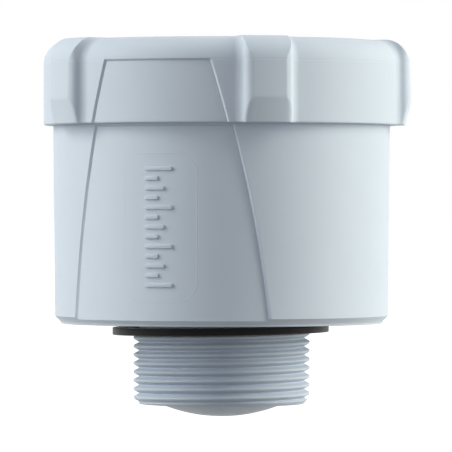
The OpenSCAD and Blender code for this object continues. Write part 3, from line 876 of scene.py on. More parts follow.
@dataclass(frozen=True)
class Lid(Piece):
    """The hand-turned lid: five grips, a rounded shoulder, the panel's upper end and its inner thread.

    Its foot hangs by hang below its box in the frame. Its top lies box_rise below the box's, from
    which the grips' ends stand up again by rise. The ridges reach ridge_h into the bore.
    """

    name = "lid_shell"
    low: float = 56.5
    top: float = 79.1
    wall_r: float = 48.2
    shoulder_r: float = 6.3
    edge_r: float = 0.5
    taper_h: float = 6.1
    taper_in: float = 1.4
    draft: float = 0.2
    panel_top: float = 72.9
    box_rise: float = 0.22
    hang: float = 0.2
    rise: float = 0.2
    skirt_r: float = 45.8
    bore_r: float = 45.2
    room_r: float = 44.4
    step_z: float = 60.3
    room_z: float = 73.5
    ceiling_z: float = 76.3
    ridge_h: float = 1.4
    ridge_deg: float = 5.0
    grips: Grips = field(default_factory=Grips)
    panel: FrontPanel = field(default_factory=FrontPanel)

    @classmethod
    def on_frame(cls) -> Lid:
        """Reads the lid's foot and top from its box in the frame."""
        low, high = in_mm(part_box("lid"))
        return cls(low=float(low[2]) - cls.hang, top=float(high[2]) - cls.box_rise)

    @property
    def parting_z(self) -> float:
        """Height of the line at which the shoulder starts."""
        return self.top - self.shoulder_r

    @property
    def crease_z(self) -> float:
        """Height of the crease between the grips' foot and their upright face."""
        return self.low + self.edge_r + self.taper_h

    def face(self, z: Array) -> Array:
        """Face radius of the grips' outline, which leans in a little from the crease to the shoulder."""
        climb = np.clip((z - self.crease_z) / (self.parting_z - self.crease_z), 0.0, 1.0)
        return self.grips.face_r - self.draft * climb

    def taper(self, z: Array) -> Array:
        """How far the cone that cuts the grips' foot lies inside their face."""
        return self.taper_in * np.clip((self.crease_z - z) / self.taper_h, 0.0, 1.0)

    def outside(self) -> Array:
        """Rows of the outside from the foot's edge to the shoulder's top.

        Each row is (height, wall radius, outline's face radius, turned face's radius, inset of the
        foot's round edge). On the shoulder the wall and the turned face fall by shoulder_r (1 - cos s)
        while the height rises by shoulder_r sin s.

        Returns:
            The rows.
        """
        round_edge = np.radians(np.linspace(-90.0, 0.0, 7))[:-1]
        edge_z = self.low + self.edge_r * (1.0 + np.sin(round_edge))
        panel_z = self.panel_top + np.array(self.panel.out)
        upright_z = chain((self.low + self.edge_r, self.crease_z, panel_z[0]), (21, 13))
        wall_z = np.concatenate([upright_z[:-1], panel_z])
        start = math.degrees(math.asin((panel_z[-1] - self.parting_z) / self.shoulder_r))
        turn = np.radians(np.linspace(start, 90.0, 25))[1:]
        height = np.concatenate([edge_z, wall_z, self.parting_z + self.shoulder_r * np.sin(turn)])
        climb = np.clip((height - self.parting_z) / self.shoulder_r, 0.0, 1.0)
        drop = self.shoulder_r * (1.0 - np.sqrt(1.0 - climb**2))
        level = np.clip(height, self.low + self.edge_r, self.parting_z)
        face = self.face(level)
        inset = np.concatenate([self.edge_r * (1.0 - np.cos(round_edge)), np.zeros(len(wall_z) + len(turn))])
        return np.stack([height, self.wall_r - drop, face, face - self.taper(level) - drop, inset], axis=-1)

    def columns(self, rows: Array) -> tuple[Array, Array]:
        """Angles and panel depths of the columns, which follow the grips' creases and the panel's edges.

        Args:
            rows: the outside's rows.

        Returns:
            The angles and the depths, by row and column.
        """
        height, wall, face, limit, _ = rows.T
        edge = self.panel.edges(np.minimum(height, self.panel_top), self.wall_r).T
        crease, foot = self.grips.knots(wall, face, limit)
        pitch = TURN / self.grips.count
        first = pitch / 2.0 - foot
        steps = [1] * (len(edge) - 1)
        beside, field_wide, flank, between = 4, 24, 22, 26
        knots = [-first, *-edge[::-1], *edge, first]
        counts = [beside, *steps, field_wide, *steps, beside]
        for k in range(self.grips.count):
            middle = pitch * (k + 0.5)
            brink = crease - self.grips.crease_w
            knots += [middle - crease, middle - brink, middle + brink, middle + crease, middle + foot]
            counts += [flank, 1, flank, 1, flank]
            if k < self.grips.count - 1:
                knots.append(middle + pitch - foot)
                counts.append(between)
        angles = spread(np.stack(knots, axis=-1), counts)
        turn = np.mod(angles + math.pi, TURN) - math.pi
        return angles, self.panel.cut(turn, height, self.panel_top, self.wall_r)

    def surface(self) -> Surface:
        """Lays out the lid as one closed surface from the ceiling's middle to the top's middle.

        The top is flat in its middle and rises towards the grips over its outer share, rim.

        Returns:
            The lid's surface.
        """
        rows = self.outside()
        angles, depth = self.columns(rows)
        height, wall, face, limit, inset = (column[:, None] for column in rows.T)
        radius = self.grips.radius(angles, wall, face, limit, self.taper(height))
        lobe = (radius - wall) / (limit - wall)
        lift = np.clip((height - self.parting_z) / self.shoulder_r, 0.0, 1.0)
        outside = turned(radius - inset - depth, height + self.rise * lobe * lift, angles)

        ceiling = [[self.room_r * share, self.ceiling_z] for share in (0.35, 0.7, 1.0)]
        room = [[self.room_r, self.room_z], [self.bore_r, self.room_z], [self.bore_r, self.step_z]]
        inner = np.array([*ceiling, *room, [self.skirt_r, self.step_z], [self.skirt_r, self.low]])
        inside = turned(inner[:, :1], inner[:, 1:], angles[:1])
        middle, rim = 0.7, 0.3
        shrink = np.linspace(1.0, 0.0, 13)[1:-1, None]
        fade = eased((shrink - middle) / rim)
        flat = turned(radius[-1:] * shrink, self.top + self.rise * lobe[-1:] * fade, angles[-1:])

        surface = Surface()
        grid = np.concatenate([inside, outside, flat])
        surface.add_grid(grid, first_pole=on_axis(self.ceiling_z), last_pole=on_axis(self.top))
        self.ridges().add_to(surface)
        return surface

    def ridges(self) -> ThreadRidges:
        """The bore's ridges, of which the first hangs under the neck's by half of each and the play.

        Returns:
            The ridges.
        """
        neck_half, lid_half, play = 0.6125, 0.606, 0.35
        level = self.step_z + RIDGE_RISE - (neck_half + lid_half + play) + ThreadRidges.lead * self.ridge_deg / 360.0
        return ThreadRidges(self.bore_r + SUNK, self.bore_r - self.ridge_h, level, self.ridge_deg)


@dataclass(frozen=True)
class Housing(Piece):
    """The housing moulding: drafted wall with the panel's field, threaded neck, floor, bosses and columns.

    The wall stands by proud outside its box in the frame. Its foot is a chamfer that ends over a lip,
    which is lip_in further in and rounded by lip_r below.
    """

    name = "housing_shell"
    low: float = 2.74
    top: float = 74.3
    wall_r: float = 45.5
    proud: float = 0.13
    draft: float = 0.48
    inner_draft: float = 0.6
    shoulder_z: float = 59.5
    band_z: float = 57.4
    chamfer_z: float = 4.8
    chamfer: float = 1.4
    lip_h: float = 0.35
    lip_in: float = 0.22
    lip_r: float = 0.2
    under_r: float = 36.0
    panel_top: float = 55.7
    side_deg: float = 50.0
    neck_r: float = 43.4
    neck_lead: float = 0.5
    ridge_h: float = 1.3
    cavity_r: float = 41.3
    floor_z: float = 6.5
    bore_r: float = 25.1
    collar_r: float = 28.7
    collar_z: float = 4.54
    boss_r: float = 2.9
    boss_at: float = 30.9
    boss_top: float = 15.2
    column_r: float = 3.0
    column_at: float = 37.4
    column_top: float = 41.0
    web_half: float = 2.0
    hole_r: float = 2.05
    hole_h: float = 6.0
    post_lead: float = 0.25
    panel: FrontPanel = field(default_factory=FrontPanel)

    @classmethod
    def on_frame(cls) -> Housing:
        """Reads the housing's foot, top and reach from its box in the frame."""
        low, high = in_mm(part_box("housing_body"))
        return cls(low=float(low[2]), top=float(high[2]), wall_r=float(high[0]) + cls.proud)

    def face_r(self, z: Array) -> Array:
        """Radius of the drafted wall at each height."""
        return self.wall_r - self.draft * (self.shoulder_z - z) / (self.shoulder_z - self.low)

    def profile(self) -> Array:
        """Rows of radius, height and whether the panel is cut there: up the outside, down the inside.

        Returns:
            The closed profile's rows.
        """
        foot_r = float(self.face_r(np.array(self.chamfer_z))) - self.chamfer
        foot_z = self.chamfer_z - self.chamfer
        meet_z = self.chamfer_z - self.panel.depth
        soft = 0.3
        below = np.concatenate(
            [
                [[self.collar_r, self.low], [self.under_r, self.low]],
                arc((foot_r - self.lip_in - self.lip_r, self.low + self.lip_r), self.lip_r, -90.0, 0.0, 6),
                [[foot_r - self.lip_in * soft, foot_z - self.lip_h * soft]],
                [[foot_r, foot_z], [foot_r + meet_z - foot_z, meet_z]],
            ]
        )
        panel_z = self.panel_top + np.array(self.panel.out)
        upright_z = np.linspace(self.chamfer_z, panel_z[0], 34)[:-1]
        wall_z = np.concatenate([upright_z, panel_z, [self.band_z, self.shoulder_z]])
        cavity_z = np.linspace(self.top, self.floor_z, 26)
        cavity_r = self.cavity_r - self.inner_draft * (self.top - cavity_z) / (self.top - self.floor_z)
        within = np.concatenate(
            [
                [[self.neck_r, self.shoulder_z], [self.neck_r, self.top - self.neck_lead]],
                [[self.neck_r - self.neck_lead, self.top]],
                np.stack([cavity_r, cavity_z], axis=-1),
                [[self.bore_r, self.floor_z], [self.bore_r, self.collar_z], [self.collar_r, self.collar_z]],
            ]
        )
        rows = np.concatenate([below, np.stack([self.face_r(wall_z), wall_z], axis=-1), within])
        carved = np.repeat([0.0, 1.0, 0.0], [len(below), len(wall_z), len(within)])
        return np.column_stack([rows, carved])

    def surface(self) -> Surface:
        """Lays out the housing as one closed surface, with its ridges, bosses and columns.

        Returns:
            The housing's surface.
        """
        rows = self.profile()
        level = np.clip(rows[:, 1], self.chamfer_z - self.panel.depth, self.panel_top)
        mean_r = self.wall_r - self.draft / 2.0
        edge = self.panel.edges(level, mean_r)
        side = np.full((len(rows), 1), math.radians(self.side_deg))
        knots = np.concatenate([-side, -edge[:, ::-1], edge, side, TURN - side], axis=-1)
        steps = [1] * (edge.shape[1] - 1)
        beside, field_wide, back = 8, 36, 122
        angles = spread(knots, [beside, *steps, field_wide, *steps, beside, back])
        sunk = rows[:, 2:] * self.panel.cut(angles, rows[:, 1], self.panel_top, mean_r)
        surface = Surface()
        surface.add_grid(turned(rows[:, :1] - sunk, rows[:, 1:2], angles), along=True)
        ridge_z = self.shoulder_z + LID_PLAY + RIDGE_RISE
        ThreadRidges(self.neck_r - SUNK, self.neck_r + self.ridge_h, ridge_z).add_to(surface)
        for turn_deg in (45.0, 135.0, 225.0, 315.0):
            self._post(surface, self.boss_at, turn_deg, self.boss_r, self.boss_top)
        for turn_deg in (30.0, 150.0, 210.0, 330.0):
            self._post(surface, self.column_at, turn_deg, self.column_r, self.column_top)
            near_r = self.column_at + self.column_r - 2.0 * SUNK
            surface.add_block(
                np.array([near_r, -self.web_half, self.floor_z - SUNK]),
                np.array([self.cavity_r - self.inner_draft + SUNK, self.web_half, self.column_top]),
                math.radians(turn_deg),
            )
        return surface

    def _post(self, surface: Surface, reach: float, turn_deg: float, radius: float, top: float) -> None:
        """Adds a round post on the floor with the hole for its insert and a small lead round its top.

        Args:
            surface: the housing's surface.
            reach: the post's distance from the axis.
            turn_deg: its angle from +X, anticlockwise from above.
            radius: its radius.
            top: height of its top.
        """
        turn = math.radians(turn_deg)
        foot_z, hole_z = self.floor_z - SUNK, top - self.hole_h
        post = [[0.0, foot_z], [radius, foot_z], [radius, top - self.post_lead], [radius - self.post_lead, top]]
        hole = [[self.hole_r, top], [self.hole_r, hole_z], [0.0, hole_z]]
        surface.add_turned(np.array(post + hole), 40, (reach * math.cos(turn), reach * math.sin(turn)))


@dataclass(frozen=True)
class LevelScale(Piece):
    """Raised level marks on the panel, where such units carry moulded lettering.

    Each mark is a bar with round ends: its outline is laid round the wall by arc length, and rings of
    that outline climb from inside the wall to its rounded top. Its length is one of four shares of the
    width in turn.
    """

    name = "level_scale"
    housing: Housing
    low: float = 13.1
    high: float = 44.9
    width: float = 7.8
    shares: tuple[float, ...] = (1.0, 0.5, 0.72, 0.5)
    bar: float = 1.1
    corner: float = 0.5
    marks: int = 13
    height: float = 0.5
    foot: float = 0.2
    soft: float = 0.22

    def surface(self) -> Surface:
        """Lays out the marks on the housing's field.

        Returns:
            The marks' surface.
        """
        surface = Surface()
        turn = np.radians(np.linspace(0.0, 90.0, 5))
        insets = np.concatenate([[0.0], self.soft * (1.0 - np.cos(turn))])
        rises = np.concatenate([[-self.foot], self.height - self.soft * (1.0 - np.sin(turn))])
        levels = np.linspace(self.low + self.bar / 2.0, self.high - self.bar / 2.0, self.marks)
        for k, level in enumerate(levels):
            length = self.width * self.shares[k % len(self.shares)]
            centre = -self.width / 2.0 + length / 2.0
            rings = []
            for inset, rise in zip(insets, rises):
                outline = rounded_plate(length / 2.0 - inset, self.bar / 2.0 - inset, self.corner - inset, 6)
                z = level + outline[:, 1]
                face = self.housing.face_r(z) - self.housing.panel.depth
                rings.append(turned(face + rise, z, (centre + outline[:, 0]) / face))
            face = self.housing.face_r(level) - self.housing.panel.depth
            first, last = (turned(face + rise, level, centre / face) for rise in (rises[0], rises[-1]))
            surface.add_grid(np.stack(rings), first_pole=first, last_pole=last)
        return surface


# ---------------------------------------------------------------- the process connection


@dataclass(frozen=True)
class ProcessFitting(Piece):
    """The screwed fitting: a parallel pipe thread, a lens below it, and a collar and neck inside the housing.

    The thread's radius depends only on how far a point lies from the nearest crest along the axis: a
    round crest, a straight flank and a round root. Each arc of radius R reaches R cos f along the axis,
    with f the flank's angle, and its middle lies R (1 / sin f - 1) inside the sharp corner. The crest
    climbs one pitch a turn. The lens is a cap of radius lens_r below and of radius inner_r above, on a
    plate edge_t thick.
    """

    name = "threaded_fitting"
    merge = 2e-7
    low: float = -22.4
    top: float = 12.0
    major_r: float = 23.9
    pitch: float = 2.309
    crest_round: float = 0.5
    root_round: float = 0.16
    flank_deg: float = 27.5
    first_z: float = -2.494
    foot_z: float = -19.1
    chamfer: float = 1.7
    relief_r: float = 22.4
    collar_z: float = 2.5
    collar_r: float = 28.6
    ledge_z: float = 4.54
    neck_r: float = 25.0
    neck_lead: float = 0.5
    bore_r: float = 19.6
    under_r: float = 19.5
    lens_r: float = 43.0
    lens_half: float = 16.75
    edge_t: float = 2.7
    inner_r: float = 55.0
    columns: int = 240

    @classmethod
    def on_frame(cls) -> ProcessFitting:
        """Reads the fitting's lens and top from its box in the frame."""
        low, high = in_mm(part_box("process_fitting"))
        return cls(low=float(low[2]), top=float(high[2]))

    def thread_r(self, z: Array, turn: Array) -> Array:
        """Radius of the thread at each height and world angle, cut by the chamfer at its foot.

        Args:
            z: heights.
            turn: share of a turn from +X, anticlockwise from above.

        Returns:
            The radii.
        """
        flank = math.radians(self.flank_deg)
        cut = 1.0 / math.sin(flank) - 1.0
        root_r = self.major_r - self.pitch / (2.0 * math.tan(flank)) + cut * (self.crest_round + self.root_round)
        crest = self.first_z + self.pitch * turn
        away = np.abs(np.mod(z - crest + self.pitch / 2.0, self.pitch) - self.pitch / 2.0)
        from_root = self.pitch / 2.0 - away
        top = self.major_r - self.crest_round + np.sqrt(np.maximum(self.crest_round**2 - away**2, 0.0))
        bottom = root_r + self.root_round - np.sqrt(np.maximum(self.root_round**2 - from_root**2, 0.0))
        side = self.major_r + self.crest_round * cut - away / math.tan(flank)
        reach = math.cos(flank)
        radius = np.where(from_root < self.root_round * reach, bottom, side)
        radius = np.where(away < self.crest_round * reach, top, radius)
        cone = self.major_r - self.chamfer + np.maximum(z - self.foot_z, 0.0)
        return np.minimum(radius, cone)

    def below(self) -> Array:
        """Rows of radius and height from beside the lens' lowest point out to the thread's foot.

        Returns:
            The rows.
        """
        rim = np.linspace(0.0, self.lens_half, 16)[1:]
        dome = np.stack([rim, self.low + self.lens_r - np.sqrt(self.lens_r**2 - rim**2)], axis=-1)
        return np.concatenate([dome, [[self.under_r, self.foot_z], [self.major_r - self.chamfer, self.foot_z]]])

    def above(self) -> Array:
        """Rows of radius and height from the thread's top over collar and neck to the middle of the plate.

        Returns:
            The rows.
        """
        inner = np.linspace(self.bore_r, 0.0, 12)
        sphere_z = self.foot_z + self.edge_t - math.sqrt(self.inner_r**2 - (self.bore_r + 1.0) ** 2)
        bowl = np.stack([inner, sphere_z + np.sqrt(self.inner_r**2 - inner**2)], axis=-1)
        relief = [[self.relief_r, 0.0], [self.relief_r, self.collar_z]]
        collar = [[self.collar_r, self.collar_z], [self.collar_r, self.ledge_z]]
        neck = [[self.neck_r, self.ledge_z], [self.neck_r, self.top - self.neck_lead]]
        rim = [[self.neck_r - self.neck_lead, self.top], [self.bore_r, self.top]]
        return np.concatenate([relief, collar, neck, rim, bowl])

    def surface(self) -> Surface:
        """Lays the thread out on a grid that climbs with it, and turns the rest from a profile.

        The thread's rows run up the helix and are held at the foot's and the top's height, so that the
        last column of one pitch meets the first of the next.

        Returns:
            The fitting's surface.
        """
        bend = np.sin(np.linspace(-1.0, 1.0, 8) * math.radians(90.0 - self.flank_deg))
        flank = np.array([0.55, 0.75])
        root = self.pitch / 2.0 + self.root_round * bend
        samples = np.concatenate([self.crest_round * bend, flank, root, self.pitch - flank[::-1]])
        pitches = np.arange(-9, 3)
        along = (pitches[:, None] * self.pitch + samples[None, :]).ravel() + self.first_z
        turn = np.arange(self.columns + 1)[None, :] / self.columns
        height = np.clip(along[:, None] + self.pitch * turn, self.foot_z, 0.0)
        angle = TURN * turn + math.pi / 2.0
        round_angle = angle[:, :-1]
        surface = Surface()
        surface.add_grid(turned(self.thread_r(height, turn), height, angle), around=False)

        below, above = self.below(), self.above()
        surface.add_grid(turned(below[:, :1], below[:, 1:], round_angle), first_pole=on_axis(self.low))
        start = np.zeros((1, 1))
        rim_row = turned(self.thread_r(start, turn[:, :-1]), start, round_angle)
        surface.add_grid(
            np.concatenate([rim_row, turned(above[:-1, :1], above[:-1, 1:], round_angle)]),
            last_pole=on_axis(above[-1, 1]),
        )
        return surface


@dataclass(frozen=True)
class ProcessSeal(Piece):
    """The flat rubber ring on the thread, which hangs a little low on one side and lies off centre.

    Its section is a rectangle with round corners, turned about the axis. The ring is lifted by lift
    from its place in the frame and falls off evenly across it by drop, towards hangs_deg. Away from
    there it leans against the thread by shift.
    """

    name = "flat_seal"
    low: float = 0.0
    high: float = 2.0
    bore_r: float = 24.2
    outer_r: float = 29.2
    corner: float = 0.2
    lift: float = 0.42
    drop: float = 0.8
    hangs_deg: float = 111.8
    proud: float = 0.12
    shift: float = 0.25

    @classmethod
    def on_frame(cls) -> ProcessSeal:
        """Reads the ring's thickness and reach from its box in the frame."""
        low, high = in_mm(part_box("process_seal"))
        return cls(float(low[2]) + cls.lift, float(high[2]) + cls.lift, outer_r=float(high[0]) + cls.proud)

    def surface(self) -> Surface:
        """Lays out the ring.

        Returns:
            The ring's surface.
        """
        middle = np.array([(self.bore_r + self.outer_r) / 2.0, (self.low + self.high) / 2.0])
        half_width, half_height = (self.outer_r - self.bore_r) / 2.0, (self.high - self.low) / 2.0
        section = rounded_plate(half_width, half_height, self.corner, 4) + middle
        ring = turned(section[:, :1], section[:, 1:], even_angles(180)[None, :])
        hangs = math.radians(self.hangs_deg)
        across = ring[..., 0] * math.sin(hangs) - ring[..., 1] * math.cos(hangs)
        ring[..., 2] -= self.drop * (self.outer_r - across) / (2.0 * self.outer_r)
        ring[..., :2] -= self.shift * np.array([math.sin(hangs), -math.cos(hangs)])
        surface = Surface()
        surface.add_grid(ring, along=True)
        return surface


# ---------------------------------------------------------------- the pieces of the frame that stay


GREY: Colour = (0.507, 0.585, 0.705)

HOUSING_PLASTIC = MouldedPlastic(
    "moulded_grey_housing", GREY, 0.5, lines=(FieldLine(10.35, 9.2, 48.4, 5.5, 44.6, 0.18, 0.035),)
)
LID_PLASTIC = MouldedPlastic("moulded_grey_lid", GREY, 0.5, lines=(LevelLine(72.8, 0.2, 0.05),))
SCALE_PLASTIC = MouldedPlastic("moulded_grey_marks", GREY, 0.46)
# The fitting's grey is the housing's grey made a little darker: painted shade for its thread.
FITTING_PLASTIC_AND_SHADE = MouldedPlastic("moulded_grey_fitting_and_shade", shaded(GREY, 0.96), 0.48, depth=0.003, specular=0.15)
# The flat seal's near-black colour is partly its black rubber and partly painted shade: it is made darker for the
# shade that falls on it under the housing.
SEAL_RUBBER_AND_SHADE = Rubber("black_seal_rubber_and_shade", (0.004, 0.004, 0.005), 0.42, gloss=0.06, bloom=0.5)
BRASS = (0.74, 0.56, 0.27)
STEEL = (0.58, 0.59, 0.6)

FRAME_FINISHES: dict[str, Finish] = {
    "lid_seal": Rubber("dark_silicone", (0.05, 0.05, 0.055), 0.5),
    "fitting_seal": Rubber("dark_ring_rubber", (0.03, 0.03, 0.033), 0.45),
    "ring_nut": Metal("turned_nut", (0.66, 0.67, 0.68), 0.32, Lay.TURNED, 0.25),
    "radar_horn": Metal("turned_horn", (0.74, 0.75, 0.76), 0.24, Lay.TURNED, 0.2),
    "radar_board": CircuitBoard("radar_board_mask", (0.016, 0.13, 0.06), 0.35),
    "main_board": CircuitBoard("main_board_mask", (0.014, 0.12, 0.055), 0.35, 0.8),
    "radar_chip": MouldedPlastic("radar_package", (0.02, 0.02, 0.022), 0.55, 0.15, 0.01),
    "processor_chip": MouldedPlastic("processor_package", (0.022, 0.022, 0.024), 0.5, 0.15, 0.01),
    "radar_shield": Metal("tinned_shield", (0.6, 0.61, 0.61), 0.36, Lay.ROLLED, 0.3),
    "modem_module": Metal("modem_can", (0.62, 0.62, 0.6), 0.34, Lay.ROLLED, 0.25),
    "sim_holder": Metal("card_holder_sheet", (0.64, 0.64, 0.63), 0.3, Lay.ROLLED, 0.2),
    "sim_card": MouldedPlastic("white_card", (0.78, 0.78, 0.75), 0.4, 0.2, 0.003),
    "board_spacers": Metal("brass_spacers", BRASS, 0.3, Lay.DRAWN, 0.15),
    "threaded_inserts": Metal("brass_inserts", shaded(BRASS, 0.95), 0.34, Lay.CAST, 0.2, 0.03),
    "board_connector": MouldedPlastic("black_connector", (0.024, 0.024, 0.027), 0.48, 0.2),
    "battery_connector": MouldedPlastic("black_battery_connector", (0.026, 0.026, 0.028), 0.48, 0.2),
    "board_screws": Metal("board_screw_steel", STEEL, 0.28, Lay.CAST, 0.2),
    "tray_screws": Metal("tray_screw_steel", STEEL, 0.28, Lay.CAST, 0.2),
    "modem_antenna": Metal("copper_strip", (0.62, 0.33, 0.17), 0.3, Lay.ROLLED, 0.2),
    "buffer_capacitor": CellSleeve("blue_capacitor_sleeve", (0.035, 0.05, 0.17), 0.3, 60.0),
    "battery_tray": MouldedPlastic("dark_tray", (0.055, 0.062, 0.07), 0.52, 0.3, 0.008),
    "battery_cell_left": CellSleeve("green_cell_sleeve_left", (0.02, 0.13, 0.07), 0.3, 24.4, 1.0),
    "battery_cell_right": CellSleeve("green_cell_sleeve_right", (0.02, 0.13, 0.07), 0.3, 24.4, -1.0),
    "battery_springs": Metal("spring_wire", (0.6, 0.6, 0.6), 0.26, Lay.DRAWN, 0.15),
    "battery_contacts": Metal("nickel_contacts", (0.66, 0.63, 0.56), 0.26, Lay.ROLLED, 0.2),
    "position_antenna": Ceramic("fired_ceramic", (0.48, 0.4, 0.29), 0.55),
    "start_button": MouldedPlastic("blue_button", (0.02, 0.09, 0.34), 0.42, 0.2, 0.004),
    "start_switch": MouldedPlastic("black_switch", (0.025, 0.025, 0.028), 0.45, 0.15),
    "switch_plunger": MouldedPlastic("ivory_plunger", (0.62, 0.57, 0.44), 0.45, 0.2, 0.004),
    "status_light": ClearPlastic("clear_light", (0.86, 0.9, 0.82), 0.12),
    "light_guide": ClearPlastic("clear_guide", (0.84, 0.89, 0.92), 0.1),
}


def dress_frame(nodes: dict[str, bpy.types.Object]) -> None:
    """Gives each piece of the frame that stays its finish.

    Args:
        nodes: the frame's objects by name.
    """
    for name, finish in FRAME_FINISHES.items():
        piece = nodes[name]
        material = finish.material()
        if piece.material_slots:
            for slot in piece.material_slots:
                slot.material = material
        else:
            piece.data.materials.append(material)
        log.info("%s: %s", name, finish.name)


# ---------------------------------------------------------------- the studio


@dataclass(frozen=True)
class SoftBox:
    """A lamp with a flat square face that looks at the unit.

    Its place is a distance along a direction round and up from the camera's, and its power is
    brightness times pi times its face, so that the face is as bright as a surface of that value.
    """

    name: str
    round_deg: float
    up_deg: float
    distance: float
    width: float
    height: float
    brightness: float
    tint: Colour = (1.0, 1.0, 1.0)
    mirrored: bool = True

    def build(self, camera_deg: float, target: Vector) -> bpy.types.Object:
        """Builds the lamp.

        Args:
            camera_deg: the camera's angle from the front.
            target: the point that it looks at, in metres.

        Returns:
            The lamp's object.
        """
        turn, up = math.radians(camera_deg + self.round_deg), math.radians(self.up_deg)
        back = Vector((math.sin(turn) * math.cos(up), -math.cos(turn) * math.cos(up), math.sin(up)))
        data = bpy.data.lights.new(self.name, "AREA")
        data.shape = "RECTANGLE"
        data.size, data.size_y = self.width, self.height
        data.energy = self.brightness * math.pi * self.width * self.height
        data.color = self.tint
        lamp = bpy.data.objects.new(self.name, data)
        lamp.location = target + back * self.distance
        lamp.rotation_euler = back.to_track_quat("Z", "Y").to_euler()
        lamp.visible_camera = False
        lamp.visible_glossy = self.mirrored
        bpy.context.scene.collection.objects.link(lamp)
        return lamp


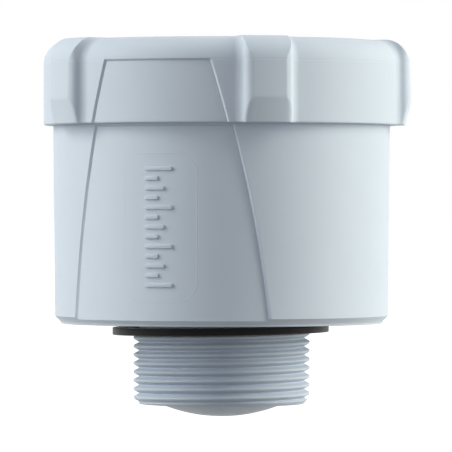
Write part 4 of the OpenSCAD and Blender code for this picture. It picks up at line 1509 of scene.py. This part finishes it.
@dataclass(frozen=True)
class Studio:
    """The camera, the lamps, the white surroundings and the pale floor.

    The camera stands at camera_deg round from the front, camera_far out and camera_up up, and aims at
    a point aim_side and aim_up from the origin. The lamps look at lamp_up over the origin. The floor
    glows from glow_near on its way to full white at glow_far, in millimetres from the axis.
    """

    camera_deg: float = 21.58
    camera_far: float = 1.314
    camera_up: float = 0.035
    aim_side: float = 0.0012
    aim_up: float = 0.02905
    lens: float = 386.0
    sensor: float = 36.0
    clip: tuple[float, float] = (0.05, 200.0)
    lamp_up: float = 0.03
    floor_z: float = -0.105
    rings: tuple[float, ...] = (0.1, 0.4, 1.0, 3.0, 10.0, 40.0)
    glow: tuple[float, float] = (0.82, 1.0)
    glow_near: float = 250.0
    glow_far: float = 900.0
    surround: float = 0.335
    boxes: tuple[SoftBox, ...] = (
        SoftBox("left_panel", -86.0, 8.0, 1.5, 0.84, 1.0, 5.1, (1.0, 0.975, 0.87), False),
        SoftBox("left_near", -62.0, 8.0, 1.5, 0.2, 1.0, 3.7, (1.0, 0.975, 0.9)),
        SoftBox("right_panel", 90.0, 8.0, 1.5, 0.45, 1.0, 18.9, (1.0, 0.955, 0.8), False),
        SoftBox("left_high", -80.0, 38.0, 1.5, 0.5, 0.6, 11.2, (1.0, 0.975, 0.85), False),
        SoftBox("right_high", 80.0, 38.0, 1.5, 0.5, 0.6, 7.5, (1.0, 0.96, 0.8), False),
        SoftBox("front_fill", 0.0, 5.0, 1.5, 0.6, 0.8, 1.35),
    )

    def build(self) -> None:
        """Builds everything round the unit."""
        bpy.context.scene.view_settings.view_transform = "Standard"
        self._camera()
        for box in self.boxes:
            box.build(self.camera_deg, Vector((0.0, 0.0, self.lamp_up)))
        self._world()
        self._floor()

    def _camera(self) -> None:
        """A long lens that looks along the level at the unit's middle."""
        scene = bpy.context.scene
        turn = math.radians(self.camera_deg)
        data = bpy.data.cameras.new("camera")
        data.lens, data.sensor_width = self.lens, self.sensor
        data.clip_start, data.clip_end = self.clip
        camera = bpy.data.objects.new("camera", data)
        out = Vector((math.sin(turn), -math.cos(turn), 0.0)) * self.camera_far
        camera.location = out + Vector((0.0, 0.0, self.camera_up))
        aim = Vector((math.cos(turn), math.sin(turn), 0.0)) * self.aim_side + Vector((0.0, 0.0, self.aim_up))
        camera.rotation_euler = (aim - camera.location).to_track_quat("-Z", "Y").to_euler()
        scene.collection.objects.link(camera)
        scene.camera = camera

    def _world(self) -> None:
        """A white world for what looks straight at it, and a dim even one for diffuse light."""
        world = bpy.data.worlds.new("surroundings")
        world.use_nodes = True
        nodes = Tree(world.node_tree)
        nodes.tree.nodes.clear()
        dim, white = (
            nodes.first("ShaderNodeBackground", {"Color": WHITE, "Strength": strength})
            for strength in (self.surround, 1.0)
        )
        both = nodes.first("ShaderNodeMixShader", {0: nodes.seen(), 1: dim, 2: white})
        nodes.add("ShaderNodeOutputWorld", {"Surface": both})
        bpy.context.scene.world = world

    def _floor(self) -> None:
        """A wide pale disc, rings of even angles about the axis, white where it is seen and unshaded.

        Where it is seen its light is a constant part plus a diffuse part, and the constant part grows
        to full white away from the unit, so that only the unit's own shadow shows. The rest of the
        light meets a plain, darker floor.
        """
        nodes = Nodes("pale_floor")
        nodes.tree.nodes.remove(nodes.shader)
        x, y, _ = nodes.axes()
        glow = nodes.ranged(nodes.distance(x, y), *self.glow, self.glow_near, self.glow_far)
        plain, shadow = (nodes.first("ShaderNodeBsdfDiffuse", {"Color": (v, v, v, 1.0)}) for v in (0.2, 0.5))
        light = nodes.first("ShaderNodeEmission", {"Strength": glow})
        shown = nodes.first("ShaderNodeAddShader", {0: light, 1: shadow})
        both = nodes.first("ShaderNodeMixShader", {0: nodes.seen(), 1: plain, 2: shown})
        out = next(n for n in nodes.tree.nodes if n.type == "OUTPUT_MATERIAL")
        nodes.tree.links.new(both, out.inputs["Surface"])

        rings = np.array(self.rings)[::-1, None] / MM
        level = np.full_like(rings, self.floor_z / MM)
        surface = Surface()
        surface.add_grid(turned(rings, level, even_angles(96)[None, :]), last_pole=on_axis(self.floor_z / MM))
        floor = surface.make("floor", nodes.material, Piece.merge)


# ---------------------------------------------------------------- the whole unit


def place(piece: bpy.types.Object, body: str, slot: str, *stands_for: str) -> bpy.types.Object:
    """Lets a piece ride on its body and stand for the frame's nodes.

    Args:
        piece: the new piece.
        body: the frame's body that carries it.
        slot: not used.
        *stands_for: the frame's nodes that it replaces.

    Returns:
        The piece.
    """
    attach(piece, body)
    if stands_for:
        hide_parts(*stands_for)
    log.info("%s: %d faces, rides on %s", piece.name, len(piece.data.polygons), body)
    return piece


def main() -> None:
    """Loads the frame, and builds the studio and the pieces."""
    logging.basicConfig(level=logging.INFO, format="%(name)s: %(message)s")
    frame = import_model()
    Studio().build()

    housing = Housing.on_frame()
    place(Lid.on_frame().build(LID_PLASTIC), "lid", "grey_plastic", "lid")
    place(housing.build(HOUSING_PLASTIC), "housing", "grey_plastic", "housing_body")
    place(LevelScale(housing).build(SCALE_PLASTIC), "housing", "grey_plastic")
    place(ProcessFitting.on_frame().build(FITTING_PLASTIC_AND_SHADE), "housing", "fitting_plastic", "process_fitting")
    place(ProcessSeal.on_frame().build(SEAL_RUBBER_AND_SHADE), "housing", "seal_rubber", "process_seal")
    dress_frame(frame["nodes"])


if __name__ == "__main__":
    main()
